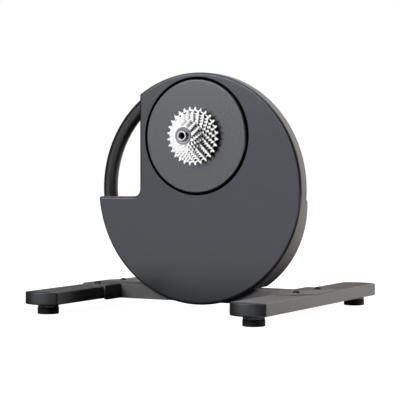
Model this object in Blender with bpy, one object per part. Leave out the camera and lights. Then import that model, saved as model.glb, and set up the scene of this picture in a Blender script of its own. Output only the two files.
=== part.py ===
"""Direct-drive bicycle trainer: round body on an H-shaped base, cassette on its drive side.

Frame: X runs along the bicycle (+X forward), -Y is the drive side, Z is up.  The origin is on
the floor, midway between the four feet.  Lengths are metres.
"""
import math

import bmesh
import bpy
from mathutils import Matrix, Vector

MM = 0.001

# Clearances
GAP = 0.3 * MM               # between pieces that touch
RUNNING_GAP = 1.0 * MM       # between pieces that turn past each other

# Axle and body
AXLE_HEIGHT = 353.5 * MM     # floor to hub axis
BODY_RIM = 9.2 * MM          # between the groove round the hub cover and the body's edge
BODY_SINK = 35.3 * MM        # how far the body's circle runs below the spine's top
FACE_Y = -40.5 * MM          # drive-side face
BODY_DEPTH = 38.0 * MM       # drive-side face to the back of the main frame
COVER_DEPTH = 20.4 * MM      # drive-side face to the parting line
FACE_FILLET = 4.5 * MM
BACK_FILLET_DEPTH = 15.5 * MM
BACK_FILLET_INSET = 20.0 * MM
COVER_WALL = 3.0 * MM
FRAME_WALL = 3.5 * MM
FRAME_BACK_WALL = 4.0 * MM
FRAME_FLOOR = 6.0 * MM

# Cut-out behind the carry handle
CUT_X = -134.5 * MM          # upright edge
LEDGE_DROP = 124.0 * MM      # hub axis down to the ledge
CUT_RADIUS = 16.0 * MM       # inner corner
CORNER_RADIUS = 5.0 * MM     # the two outer corners

# Round hub cover and the groove around it
PAN_RADIUS = 119.8 * MM
PAN_DEPTH = 9.0 * MM
PAN_WALL = 2.5 * MM
PAN_FLOOR = 2.0 * MM
HUB_COVER_RADIUS = 115.5 * MM
HUB_COVER_PROUD = 2.5 * MM
HUB_COVER_FILLET = 2.5 * MM
HUB_COVER_WALL = 2.5 * MM
HUB_HOLE_RADIUS = 25.0 * MM

# Flywheel housing behind the lower half of the body
HOUSING_X = 8.0 * MM
HOUSING_SINK = 31.8 * MM     # how far its circle runs below the spine's top
HOUSING_RADIUS = 200.0 * MM
HOUSING_DEPTH = 58.7 * MM
HOUSING_TOP_DROP = 124.5 * MM
HOUSING_WALL = 3.5 * MM
HOUSING_FILLET = 12.0 * MM
HOUSING_CORNER = 9.0 * MM

# Rear cover with the boss that carries the far end of the axle
REAR_COVER_RADIUS = 100.0 * MM
REAR_COVER_THICKNESS = 3.5 * MM
BOSS_ROOT_RADIUS = 42.0 * MM
BOSS_TIP_RADIUS = 22.0 * MM
BOSS_WALL = 4.0 * MM

# Carry handle
HANDLE_RADIUS = 14.7 * MM
HANDLE_WALL = 2.0 * MM
HANDLE_INSET = 18.7 * MM       # body's edge to the middle of the tube
HANDLE_LOW_DEPTH = 24.0 * MM   # below the ledge
HANDLE_HIGH_DEPTH = 22.0 * MM  # past the upright edge
HANDLE_SOCKET_WALL = 4.0 * MM

# Base
LEG_X = 230.0 * MM           # leg centre line
LEG_WIDTH = 75.0 * MM
LEG_HEIGHT = 24.5 * MM
LEG_LENGTH = 506.0 * MM
LEG_WALL = 2.5 * MM
LEG_EDGE = 2.0 * MM
CAP_SIDE = 3.0 * MM          # straight part of an end cap
CAP_BULGE = 15.5 * MM        # how far its rounded end stands out
CAP_CORNER = 4.0 * MM
CAP_EDGE = 2.0 * MM
CAP_PLUG = 12.0 * MM
SPINE_HALF_WIDTH = 28.0 * MM
SPINE_HEIGHT = 29.8 * MM
SPINE_WALL = 4.0 * MM
SPINE_EDGE = 1.2 * MM
SADDLE_HALF_LENGTH = 87.5 * MM
SADDLE_PLATE = 2.0 * MM
SADDLE_WALL = 4.0 * MM
SADDLE_CHAMFER_X = 29.5 * MM
SADDLE_CHAMFER_Y = 37.0 * MM
SADDLE_FILLET = 9.0 * MM
LEG_BOLT_Y = 49.0 * MM
BOLT_RADIUS = 4.0 * MM
BOLT_HEAD_RADIUS = 7.0 * MM
BOLT_HEAD_HEIGHT = 4.2 * MM
LEG_BOLT_LENGTH = 14.0 * MM
BOLT_SOCKET_RADIUS = 2.9 * MM
BOLT_SOCKET_DEPTH = 2.4 * MM
BODY_BOLT_X = 60.0 * MM
BODY_BOLT_LENGTH = 20.0 * MM

# Feet
FOOT_INSET = 22.0 * MM       # end of the leg tube to the middle of the foot
PAD_RADIUS = 21.3 * MM
PAD_HEIGHT = 12.4 * MM
PAD_CHAMFER = 1.0 * MM
WHEEL_RADIUS = 20.6 * MM
WHEEL_HEIGHT = 7.0 * MM
WHEEL_RIBS = 14
WHEEL_RIB_DEPTH = 1.4 * MM
STUD_RADIUS = 5.0 * MM
STUD_LENGTH = 18.0 * MM

# Hub: hollow axle, freehub and cassette
AXLE_RADIUS = 8.5 * MM
AXLE_BORE = 6.1 * MM
DROPOUT_WIDTH = 142.0 * MM
DRIVE_END_Y = -99.0 * MM
DRIVE_CAP_RADIUS = 9.0 * MM
DRIVE_CAP_LENGTH = 6.0 * MM
FAR_CAP_RADIUS = 14.0 * MM
FAR_CAP_LENGTH = 6.0 * MM
SPLINE_RADIUS = 17.2 * MM
SPLINE_DEPTH = 1.5 * MM
SPLINES = 9
SPLINE_SHARE = 0.5           # part of the pitch that a spline fills
FREEHUB_FLANGE = 20.5 * MM
FREEHUB_FLANGE_LENGTH = 2.0 * MM
CHAIN_PITCH = 12.7 * MM
ROLLER_RADIUS = 3.97 * MM
TOOTH_ADDENDUM = 2.6 * MM
TOOTH_TIP = 2.4 * MM
COG_TEETH = (28, 25, 23, 21, 19, 17, 15, 14, 13, 12, 11)
COG_THICKNESS = 1.6 * MM
COG_SPACING = 3.74 * MM
FIRST_COG_Y = -53.5 * MM
COLLAR_WALL = 3.0 * MM
LOCKRING_RADIUS = 15.9 * MM
LOCKRING_BORE = 10.9 * MM
LOCKRING_NOTCHES = 12
LOCKRING_NOTCH = 1.4 * MM
LOCKRING_FLANGE = 1.7 * MM
LOCKRING_THREAD_RADIUS = 14.2 * MM
LOCKRING_THREAD_LENGTH = 5.0 * MM

# Belt drive
HUB_BEARING_RADIUS = 15.0 * MM
HUB_BEARING_WIDTH = 7.0 * MM
PULLEY_RADIUS = 98.0 * MM    # to the middle of the belt
PULLEY_HUB_RADIUS = 26.0 * MM
PULLEY_HUB_EXTRA = 1.0 * MM  # hub stands proud of the rim on both sides
PULLEY_RIM = 8.0 * MM
PULLEY_WEB = 4.0 * MM
PULLEY_HOLES = 5
PULLEY_HOLE_RADIUS = 18.0 * MM
BELT_CENTRE_Y = -18.0 * MM
BELT_WIDTH = 12.0 * MM
BELT_THICKNESS = 2.6 * MM
FLANGE_HEIGHT = 3.0 * MM
FLANGE_WIDTH = 0.9 * MM
DRIVE_RATIO = 7.0
IDLER_PRESS = 5.483046 * MM  # how far it pushes the belt in
IDLER_DROP = 123.5 * MM
IDLER_RADIUS = 13.0 * MM
IDLER_PIN_RADIUS = 4.0 * MM
IDLER_ARM_LENGTH = 46.0 * MM
IDLER_ARM_THICKNESS = 3.4 * MM
IDLER_ARM_ANGLE = -38.0      # degrees from +X to the pivot
IDLER_PIVOT_RADIUS = 6.0 * MM

# Flywheel and brake
FLYWHEEL_CLEARANCE = 6.7 * MM  # above the spine
FLYWHEEL_HEADROOM = 6.0 * MM   # under the housing's top
FLYWHEEL_RIM = 18.0 * MM
FLYWHEEL_WIDTH = 35.0 * MM
FLYWHEEL_BACK_GAP = 9.0 * MM
FLYWHEEL_WEB = 8.0 * MM
FLYWHEEL_HUB = 16.0 * MM
SHAFT_RADIUS = 7.5 * MM
SHAFT_BEARING_RADIUS = 16.0 * MM
SHAFT_BEARING_WIDTH = 9.0 * MM
SHAFT_BOSS_RADIUS = 22.0 * MM
SHAFT_BOSS_LENGTH = 28.0 * MM  # behind the main frame
STATOR_GAP = 3.0 * MM        # to the flywheel's rim
STATOR_CORE = 32.0 * MM
STATOR_POLES = 6
STATOR_POLE_WIDTH = 16.0 * MM
STATOR_SHOE = 5.0 * MM
STATOR_WIDTH = 20.0 * MM

# Electronics
BOARD_WIDTH = 70.0 * MM
BOARD_HEIGHT = 80.0 * MM
BOARD_THICKNESS = 1.6 * MM
BOARD_INSET = 110.5 * MM     # body's edge to the middle of the board
BOARD_DROP = 115.5 * MM      # body's centre down to the middle of the board
POST_RADIUS = 3.5 * MM
POST_LENGTH = 8.0 * MM
POST_INSET = 6.0 * MM
SOCKET_RADIUS = 6.0 * MM
SOCKET_FLANGE = 8.5 * MM
SOCKET_FLANGE_LENGTH = 1.6 * MM
SOCKET_BORE = 3.6 * MM
SOCKET_LENGTH = 16.0 * MM
SOCKET_DEPTH = 11.0 * MM
SOCKET_X = -112.0 * MM
SOCKET_DROP = 99.5 * MM      # housing's centre down to the socket

# Facets
BODY_STEPS = 36              # along the round body's long arc
HALF_STEPS = 10              # along each side of the flywheel housing
BIG_STEPS = 40
MID_STEPS = 20
SMALL_STEPS = 12
TINY_STEPS = 8
BOLT_STEPS = 12
HANDLE_STEPS = 12
HANDLE_SIDES = 10
FILLET_STEPS = 2

# Heights and depths that follow from the sizes above
LEG_BOTTOM = PAD_HEIGHT + WHEEL_HEIGHT + 2 * GAP
LEG_TOP = LEG_BOTTOM + LEG_HEIGHT
SPINE_TOP = LEG_TOP + GAP + SADDLE_PLATE
SPINE_BOTTOM = SPINE_TOP - SPINE_HEIGHT
BODY_TOP = AXLE_HEIGHT + PAN_RADIUS + BODY_RIM
BODY_FOOT = SPINE_TOP - BODY_SINK
BODY_RADIUS = (BODY_TOP - BODY_FOOT) / 2
BODY_Z = (BODY_TOP + BODY_FOOT) / 2
LEDGE_Z = AXLE_HEIGHT - LEDGE_DROP
PARTING_Y = FACE_Y + COVER_DEPTH
BACK_Y = FACE_Y + BODY_DEPTH
HOUSING_Y = BACK_Y + GAP
HOUSING_Z = SPINE_TOP - HOUSING_SINK + HOUSING_RADIUS
HOUSING_BACK_Y = HOUSING_Y + HOUSING_DEPTH
HANDLE_PATH_RADIUS = BODY_RADIUS - HANDLE_INSET
LEG_INNER_X = LEG_X - LEG_WIDTH / 2
LEG_OUTER_X = LEG_X + LEG_WIDTH / 2
FOOT_Y = LEG_LENGTH / 2 - FOOT_INSET
SADDLE_X = LEG_INNER_X - GAP - SADDLE_WALL
FAR_END_Y = DRIVE_END_Y + DROPOUT_WIDTH
FLYWHEEL_TOP = AXLE_HEIGHT - HOUSING_TOP_DROP - HOUSING_WALL - FLYWHEEL_HEADROOM
FLYWHEEL_RADIUS = (FLYWHEEL_TOP - SPINE_TOP - FLYWHEEL_CLEARANCE) / 2
FLYWHEEL_Z = FLYWHEEL_TOP - FLYWHEEL_RADIUS
STATOR_RADIUS = FLYWHEEL_RADIUS - FLYWHEEL_RIM - STATOR_GAP
FLYWHEEL_BACK_Y = HOUSING_BACK_Y - HOUSING_WALL - FLYWHEEL_BACK_GAP
SHAFT_BOSS_END_Y = BACK_Y + SHAFT_BOSS_LENGTH
SMALL_PULLEY_RADIUS = PULLEY_RADIUS / DRIVE_RATIO
PULLEY_WIDTH = BELT_WIDTH + 2 * (FLANGE_WIDTH + GAP)
PULLEY_Y0 = BELT_CENTRE_Y - PULLEY_WIDTH / 2
PULLEY_Y1 = BELT_CENTRE_Y + PULLEY_WIDTH / 2
PULLEY_HUB_Y0 = PULLEY_Y0 - PULLEY_HUB_EXTRA
PULLEY_HUB_Y1 = PULLEY_Y1 + PULLEY_HUB_EXTRA
BELT_INSET = BELT_THICKNESS / 2 + GAP
BELT_SLOPE = math.asin((PULLEY_RADIUS - SMALL_PULLEY_RADIUS) / (AXLE_HEIGHT - FLYWHEEL_Z))
IDLER_OUT = IDLER_RADIUS + BELT_THICKNESS / 2 - IDLER_PRESS
IDLER_X = (PULLEY_RADIUS + IDLER_OUT - IDLER_DROP * math.sin(BELT_SLOPE)) / math.cos(BELT_SLOPE)
IDLER_Z = AXLE_HEIGHT - IDLER_DROP
COG_BORE = SPLINE_RADIUS + GAP
SMALLEST_COG_Y = FIRST_COG_Y - COG_SPACING * (len(COG_TEETH) - 1)
FREEHUB_Y0 = SMALLEST_COG_Y
FREEHUB_Y1 = PULLEY_HUB_Y0 - GAP
LOCKRING_Y = SMALLEST_COG_Y - COG_THICKNESS / 2 - GAP - LOCKRING_FLANGE
BOARD_X = BOARD_INSET - BODY_RADIUS
BOARD_Z = BODY_Z - BOARD_DROP
BOARD_Y = BACK_Y - FRAME_BACK_WALL - POST_LENGTH - GAP
SOCKET_Z = HOUSING_Z - SOCKET_DROP


def clear_scene():
    """Remove every object that the file starts with."""
    for item in list(bpy.data.objects):
        bpy.data.objects.remove(item, do_unlink=True)


def linear(channel):
    """Turn one sRGB channel (0 to 1) into linear light."""
    if channel <= 0.04045:
        return channel / 12.92
    return ((channel + 0.055) / 1.055) ** 2.4


def material(name, colour, roughness, metallic=0.0):
    """Make a Principled material from an sRGB hex colour."""
    mat = bpy.data.materials.new(name)
    mat.use_nodes = True
    shader = mat.node_tree.nodes["Principled BSDF"]
    rgb = [linear(int(colour[i:i + 2], 16) / 255) for i in (0, 2, 4)]
    shader.inputs["Base Color"].default_value = (*rgb, 1.0)
    shader.inputs["Roughness"].default_value = roughness
    shader.inputs["Metallic"].default_value = metallic
    return mat


def add_object(name, bm, mat, location=(0.0, 0.0, 0.0), parent=None):
    """Turn a bmesh into a named object with one material."""
    bmesh.ops.recalc_face_normals(bm, faces=bm.faces)
    mesh = bpy.data.meshes.new(name)
    bm.to_mesh(mesh)
    bm.free()
    for face in mesh.polygons:
        face.use_smooth = True
    mesh.set_sharp_from_angle(angle=math.radians(32))
    if mat is not None:
        mesh.materials.append(mat)
    item = bpy.data.objects.new(name, mesh)
    item.location = location
    item.parent = parent
    bpy.context.scene.collection.objects.link(item)
    return item


def add_tool(name, bm, location=(0.0, 0.0, 0.0)):
    """Make a solid that only cuts or joins other objects."""
    item = add_object(name, bm, None, location)
    item.hide_render = True
    item.display_type = "WIRE"
    return item


def combine(target, tool, operation):
    """Cut the tool from the target, or join it to the target."""
    step = target.modifiers.new(tool.name, "BOOLEAN")
    step.operation = operation
    step.solver = "EXACT"
    step.object = tool


def cut(target, *tools):
    for tool in tools:
        combine(target, tool, "DIFFERENCE")


def join(target, *tools):
    for tool in tools:
        combine(target, tool, "UNION")


def arc(centre, radius, start, end, steps):
    """Points on an arc; angles are in degrees, both ends are included."""
    points = []
    for i in range(steps + 1):
        angle = math.radians(start + (end - start) * i / steps)
        points.append((centre[0] + radius * math.cos(angle), centre[1] + radius * math.sin(angle)))
    return points


def circle(radius, steps, centre=(0.0, 0.0)):
    return arc(centre, radius, 0, 360 * (1 - 1 / steps), steps - 1)


def skin(bm, rings, closed=False):
    """Join equal rings of points with quads, then cap the ends or close the loop."""
    loops = [[bm.verts.new(point) for point in ring] for ring in rings]
    count = len(loops[0])
    pairs = list(zip(loops, loops[1:]))
    if closed:
        pairs.append((loops[-1], loops[0]))
    for low, high in pairs:
        for i in range(count):
            j = (i + 1) % count
            bm.faces.new((low[i], low[j], high[j], high[i]))
    if not closed:
        bm.faces.new(loops[0])
        bm.faces.new(loops[-1])


def prism_y(outline, y0, y1):
    """Solid with an (x, z) outline between two depths."""
    bm = bmesh.new()
    skin(bm, [[Vector((x, y, z)) for x, z in outline] for y in (y0, y1)])
    return bm


def prism_z(outline, z0, z1):
    """Solid with an (x, y) outline between two heights."""
    bm = bmesh.new()
    skin(bm, [[Vector((x, y, z)) for x, y in outline] for z in (z0, z1)])
    return bm


def box(low, high):
    """Box between two corners."""
    bm = bmesh.new()
    size = [b - a for a, b in zip(low, high)]
    middle = [(a + b) / 2 for a, b in zip(low, high)]
    placed = Matrix.Translation(middle) @ Matrix.Diagonal((*size, 1.0))
    bmesh.ops.create_cube(bm, size=1.0, matrix=placed)
    return bm


def turned(profile, steps, axis="Y"):
    """Solid turned about an axis from a closed (radius, height) profile."""
    bm = bmesh.new()
    if axis == "Y":
        points = [Vector((radius, height, 0.0)) for radius, height in profile]
        direction = Vector((0.0, 1.0, 0.0))
    else:
        points = [Vector((radius, 0.0, height)) for radius, height in profile]
        direction = Vector((0.0, 0.0, 1.0))
    verts = [bm.verts.new(point) for point in points]
    edges = [bm.edges.new((a, b)) for a, b in zip(verts, verts[1:] + verts[:1])]
    bmesh.ops.spin(bm, geom=verts + edges, cent=(0, 0, 0), axis=direction, dvec=(0, 0, 0),
                   angle=math.tau, steps=steps, use_merge=True, use_duplicate=False)
    bmesh.ops.remove_doubles(bm, verts=bm.verts, dist=1e-6)
    flat = [edge for edge in bm.edges if edge.is_wire]
    bmesh.ops.delete(bm, geom=flat, context="EDGES")
    return bm


def rod(radius, start, end, steps, axis="Y"):
    """Plain cylinder along an axis."""
    profile = [(0.0, start), (radius, start), (radius, end), (0.0, end)]
    return turned(profile, steps, axis)


def ring(inner, outer, start, end, steps, axis="Y"):
    """Plain ring along an axis."""
    profile = [(inner, start), (outer, start), (outer, end), (inner, end)]
    return turned(profile, steps, axis)


def rotated(outline, degrees):
    """Turn an outline about its origin."""
    c, s = math.cos(math.radians(degrees)), math.sin(math.radians(degrees))
    return [(c * a - s * b, s * a + c * b) for a, b in outline]


def shifted(outline, da, db):
    return [(a + da, b + db) for a, b in outline]


def at_depth(outline, y):
    """Stand an (x, z) outline at a depth."""
    return [Vector((a, y, b)) for a, b in outline]


def body_outline(inset):
    """Edge of the round body with its cut-out, moved inwards by an inset."""
    radius = BODY_RADIUS - inset
    corner = max(CORNER_RADIUS - inset, 0.4 * MM)
    edge_x = CUT_X + inset
    edge_z = LEDGE_Z - inset
    hollow = CUT_RADIUS + inset
    reach = radius - corner
    high_x = edge_x + corner
    high_z = math.sqrt(reach ** 2 - high_x ** 2)
    low_z = edge_z - corner - BODY_Z
    low_x = -math.sqrt(reach ** 2 - low_z ** 2)
    high = math.degrees(math.atan2(high_z, high_x))
    low = math.degrees(math.atan2(low_z, low_x)) % 360
    outline = arc((0, BODY_Z), radius, high, low - 360, BODY_STEPS)
    outline += arc((low_x, BODY_Z + low_z), corner, low, 90, FILLET_STEPS)[1:]
    outline += arc((edge_x - hollow, edge_z + hollow), hollow, -90, 0, 2 * FILLET_STEPS)
    outline += arc((high_x, BODY_Z + high_z), corner, 180, high, FILLET_STEPS)[:-1]
    return outline


def housing_outline(inset):
    """Edge of the flywheel housing: a circle cut flat at the top and at the spine."""
    radius = HOUSING_RADIUS - inset
    corner = max(HOUSING_CORNER - inset, 0.4 * MM)
    reach = radius - corner
    top = AXLE_HEIGHT - HOUSING_TOP_DROP - inset - corner - HOUSING_Z
    bottom = SPINE_TOP + GAP + inset + corner - HOUSING_Z
    outline = []
    top_x = math.sqrt(reach ** 2 - top ** 2)
    bottom_x = math.sqrt(reach ** 2 - bottom ** 2)
    top_angle = math.degrees(math.atan2(top, top_x))
    bottom_angle = math.degrees(math.atan2(bottom, bottom_x))
    right = arc((bottom_x, bottom), corner, -90, bottom_angle, FILLET_STEPS)[:-1]
    right += arc((0, 0), radius, bottom_angle, top_angle, HALF_STEPS)
    right += arc((top_x, top), corner, top_angle, 90, FILLET_STEPS)[1:]
    outline = right + [(-x, z) for x, z in reversed(right)]
    return shifted(outline, HOUSING_X, HOUSING_Z)


def ellipse_steps(depth, inset, steps):
    """(distance from the face, inset) along a rounded edge, from the face outwards."""
    result = []
    for i in range(steps + 1):
        angle = math.radians(90 * i / steps)
        result.append((depth * (1 - math.cos(angle)), inset * (1 - math.sin(angle))))
    return result


def hub_cylinder(radius, y0, y1, steps):
    """Plain cylinder on the hub axis, placed in the world."""
    return prism_y(circle(radius, steps, (0, AXLE_HEIGHT)), y0, y1)


def handle_path(radius, extra, sides, bore=0.0):
    """Round bar or tube along the handle's arc, lengthened at both ends."""
    low_z = LEDGE_Z - HANDLE_LOW_DEPTH - BODY_Z
    high_x = CUT_X + HANDLE_HIGH_DEPTH
    low = math.degrees(math.asin(low_z / HANDLE_PATH_RADIUS))
    high = math.degrees(math.acos(-high_x / HANDLE_PATH_RADIUS))
    more = math.degrees(extra / HANDLE_PATH_RADIUS)
    bm = bmesh.new()
    rings = []
    bores = []
    steps = HANDLE_STEPS
    for i in range(steps + 1):
        angle = math.radians(180 - (low - more + (high - low + 2 * more) * i / steps))
        out = Vector((math.cos(angle), 0, math.sin(angle)))
        middle = Vector((0, PARTING_Y, BODY_Z)) + out * HANDLE_PATH_RADIUS
        rings.append([middle + out * a + Vector((0, b, 0)) for a, b in circle(radius, sides)])
        bores.append([middle + out * a + Vector((0, b, 0)) for a, b in circle(bore, sides)])
    if bore > 0:
        skin(bm, rings + bores[::-1], closed=True)
    else:
        skin(bm, rings)
    return bm


def handle_socket_tool(name):
    """Bar round each end of the handle, kept inside the body's outer surface."""
    return add_tool(name, handle_path(HANDLE_RADIUS + GAP + HANDLE_SOCKET_WALL,
                                      HANDLE_SOCKET_WALL, TINY_STEPS))


def fill_between(bm, first, second):
    """Fill the flat band between two loops with different numbers of points."""
    edges = []
    for loop in (first, second):
        for a, b in zip(loop, loop[1:] + loop[:1]):
            edges.append(bm.edges.get((a, b)) or bm.edges.new((a, b)))
    bmesh.ops.triangle_fill(bm, edges=edges, use_beauty=True, use_dissolve=False)


def stacked(sections):
    """Ring-like solid through sections of (outline, y); equal counts are joined by quads."""
    bm = bmesh.new()
    loops = [[bm.verts.new(point) for point in at_depth(outline, y)] for outline, y in sections]
    for first, second in zip(loops, loops[1:] + loops[:1]):
        if len(first) == len(second):
            for i in range(len(first)):
                j = (i + 1) % len(first)
                bm.faces.new((first[i], first[j], second[j], second[i]))
        else:
            fill_between(bm, first, second)
    return bm


def splined(radius, depth):
    """Outline with the freehub's splines, also for the bores that fit on them."""
    outline = []
    pitch = 360 / SPLINES
    wide = pitch * SPLINE_SHARE / 2
    for i in range(SPLINES):
        for angle, r in ((-wide, radius), (wide, radius - depth)):
            a = math.radians(i * pitch + angle)
            outline.append((r * math.cos(a), r * math.sin(a)))
    return outline


def root_radius(teeth):
    """Radius of the bottom of a roller seat."""
    return CHAIN_PITCH / 2 / math.sin(math.pi / teeth) - ROLLER_RADIUS


def tooth_outline(teeth):
    """Sprocket edge: a roller seat between two teeth with flat tips."""
    root = root_radius(teeth)
    pitch_radius = root + ROLLER_RADIUS
    tip = pitch_radius + TOOTH_ADDENDUM
    seat = 0.56 * ROLLER_RADIUS / pitch_radius
    half = math.pi / teeth
    flat = TOOTH_TIP / 2 / tip
    outline = []
    for i in range(teeth):
        gap = 2 * half * i
        points = ((gap - seat, root), (gap + seat, root),
                  (gap + half - flat, tip), (gap + half + flat, tip))
        outline += [(r * math.cos(a), r * math.sin(a)) for a, r in points]
    return outline


def belt_line(drums):
    """Line of the belt's middle round drums of (x, z, radius, sense, steps).

    Sense is +1 where the belt bends clockwise round the drum and -1 where its back runs on it.
    """
    count = len(drums)
    leaving = [None] * count
    meeting = [None] * count
    for i in range(count):
        j = (i + 1) % count
        xa, za, ra, sa, _ = drums[i]
        xb, zb, rb, sb, _ = drums[j]
        dx, dz = xb - xa, zb - za
        length = math.hypot(dx, dz)
        ux, uz = dx / length, dz / length
        offset = (sa * ra - sb * rb) / length
        side = math.sqrt(1 - offset ** 2)
        # normal pointing to the left of travel, so that a clockwise drum lies on its right
        nx = offset * ux - side * uz
        nz = offset * uz + side * ux
        leaving[i] = (nx * sa, nz * sa)
        meeting[j] = (nx * sb, nz * sb)
    line = []
    for i, (x, z, r, sense, steps) in enumerate(drums):
        start = math.degrees(math.atan2(meeting[i][1], meeting[i][0]))
        end = math.degrees(math.atan2(leaving[i][1], leaving[i][0]))
        turn = (end - start) % 360
        if sense > 0:
            turn -= 360
        # the corners lie outside the drum, so that the flats just clear it
        clear = r / math.cos(math.radians(turn / steps / 2))
        line += arc((x, z), clear, start, start + turn, steps)
    return line


def hexagon(radius, steps):
    """Hexagon with extra points along its sides."""
    outline = []
    for i in range(steps):
        angle = 360 * i / steps
        r = radius * math.cos(math.radians(30)) / math.cos(math.radians(angle % 60 - 30))
        outline.append((r * math.cos(math.radians(angle)), r * math.sin(math.radians(angle))))
    return outline


def bolt_mesh(length):
    """Button-head bolt standing on Z, with the underside of its head at zero."""
    head = BOLT_HEAD_RADIUS
    height = BOLT_HEAD_HEIGHT
    steps = BOLT_STEPS
    sections = [(circle(BOLT_RADIUS, steps), -length), (circle(BOLT_RADIUS, steps), 0),
                (circle(head, steps), 0), (circle(head, steps), 0.3 * height),
                (circle(0.62 * head, steps), height),
                (hexagon(BOLT_SOCKET_RADIUS, steps), height),
                (hexagon(BOLT_SOCKET_RADIUS, steps), height - BOLT_SOCKET_DEPTH)]
    bm = bmesh.new()
    skin(bm, [[Vector((x, y, z)) for x, y in outline] for outline, z in sections])
    return bm


def rounded_box_outline(half_width, low, high, corner):
    """Rectangle with rounded corners, centred in its first direction."""
    outline = []
    centres = ((half_width - corner, low + corner, -90), (half_width - corner, high - corner, 0),
               (corner - half_width, high - corner, 90), (corner - half_width, low + corner, 180))
    for a, b, start in centres:
        outline += arc((a, b), corner, start, start + 90, FILLET_STEPS)
    return outline


def build_cover(mats):
    """Drive-side cover: a filleted dish with the cut-out and a sunk pan for the hub cover."""
    rings = [at_depth(body_outline(inset), FACE_Y + depth)
             for depth, inset in ellipse_steps(FACE_FILLET, FACE_FILLET, FILLET_STEPS)]
    rings.append(at_depth(body_outline(0), PARTING_Y))
    rings.append(at_depth(body_outline(COVER_WALL), PARTING_Y))
    rings.append(at_depth(body_outline(COVER_WALL), FACE_Y + COVER_WALL))
    bm = bmesh.new()
    skin(bm, rings)
    cover = add_object("drive_side_cover", bm, mats["paint"])
    pan_back = FACE_Y + PAN_DEPTH + PAN_FLOOR
    pan = add_tool("pan_tool", hub_cylinder(PAN_RADIUS + PAN_WALL, FACE_Y + COVER_WALL / 2,
                                            pan_back, BIG_STEPS))
    recess = add_tool("pan_recess_tool", hub_cylinder(PAN_RADIUS, FACE_Y - PAN_DEPTH,
                                                      FACE_Y + PAN_DEPTH, BIG_STEPS))
    hole = add_tool("pan_hole_tool", hub_cylinder(HUB_HOLE_RADIUS, FACE_Y, 0, MID_STEPS))
    join(cover, pan)
    cut(cover, recess, hole, bpy.data.objects["handle_hole_tool"],
        bpy.data.objects["spine_notch_tool"])


def build_hub_cover(mats):
    """Round cover that sits in the pan and leaves the groove open all round it."""
    front = FACE_Y - HUB_COVER_PROUD
    back = FACE_Y + PAN_DEPTH - GAP
    radius = HUB_COVER_RADIUS
    profile = [(HUB_HOLE_RADIUS, front + HUB_COVER_WALL), (HUB_HOLE_RADIUS, front)]
    for depth, inset in ellipse_steps(HUB_COVER_FILLET, HUB_COVER_FILLET, FILLET_STEPS):
        profile.append((radius - inset, front + depth))
    profile += [(radius, back), (radius - HUB_COVER_WALL, back),
                (radius - HUB_COVER_WALL, front + HUB_COVER_WALL)]
    add_object("hub_cover", turned(profile, BIG_STEPS), mats["cap"], (0, 0, AXLE_HEIGHT))


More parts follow.
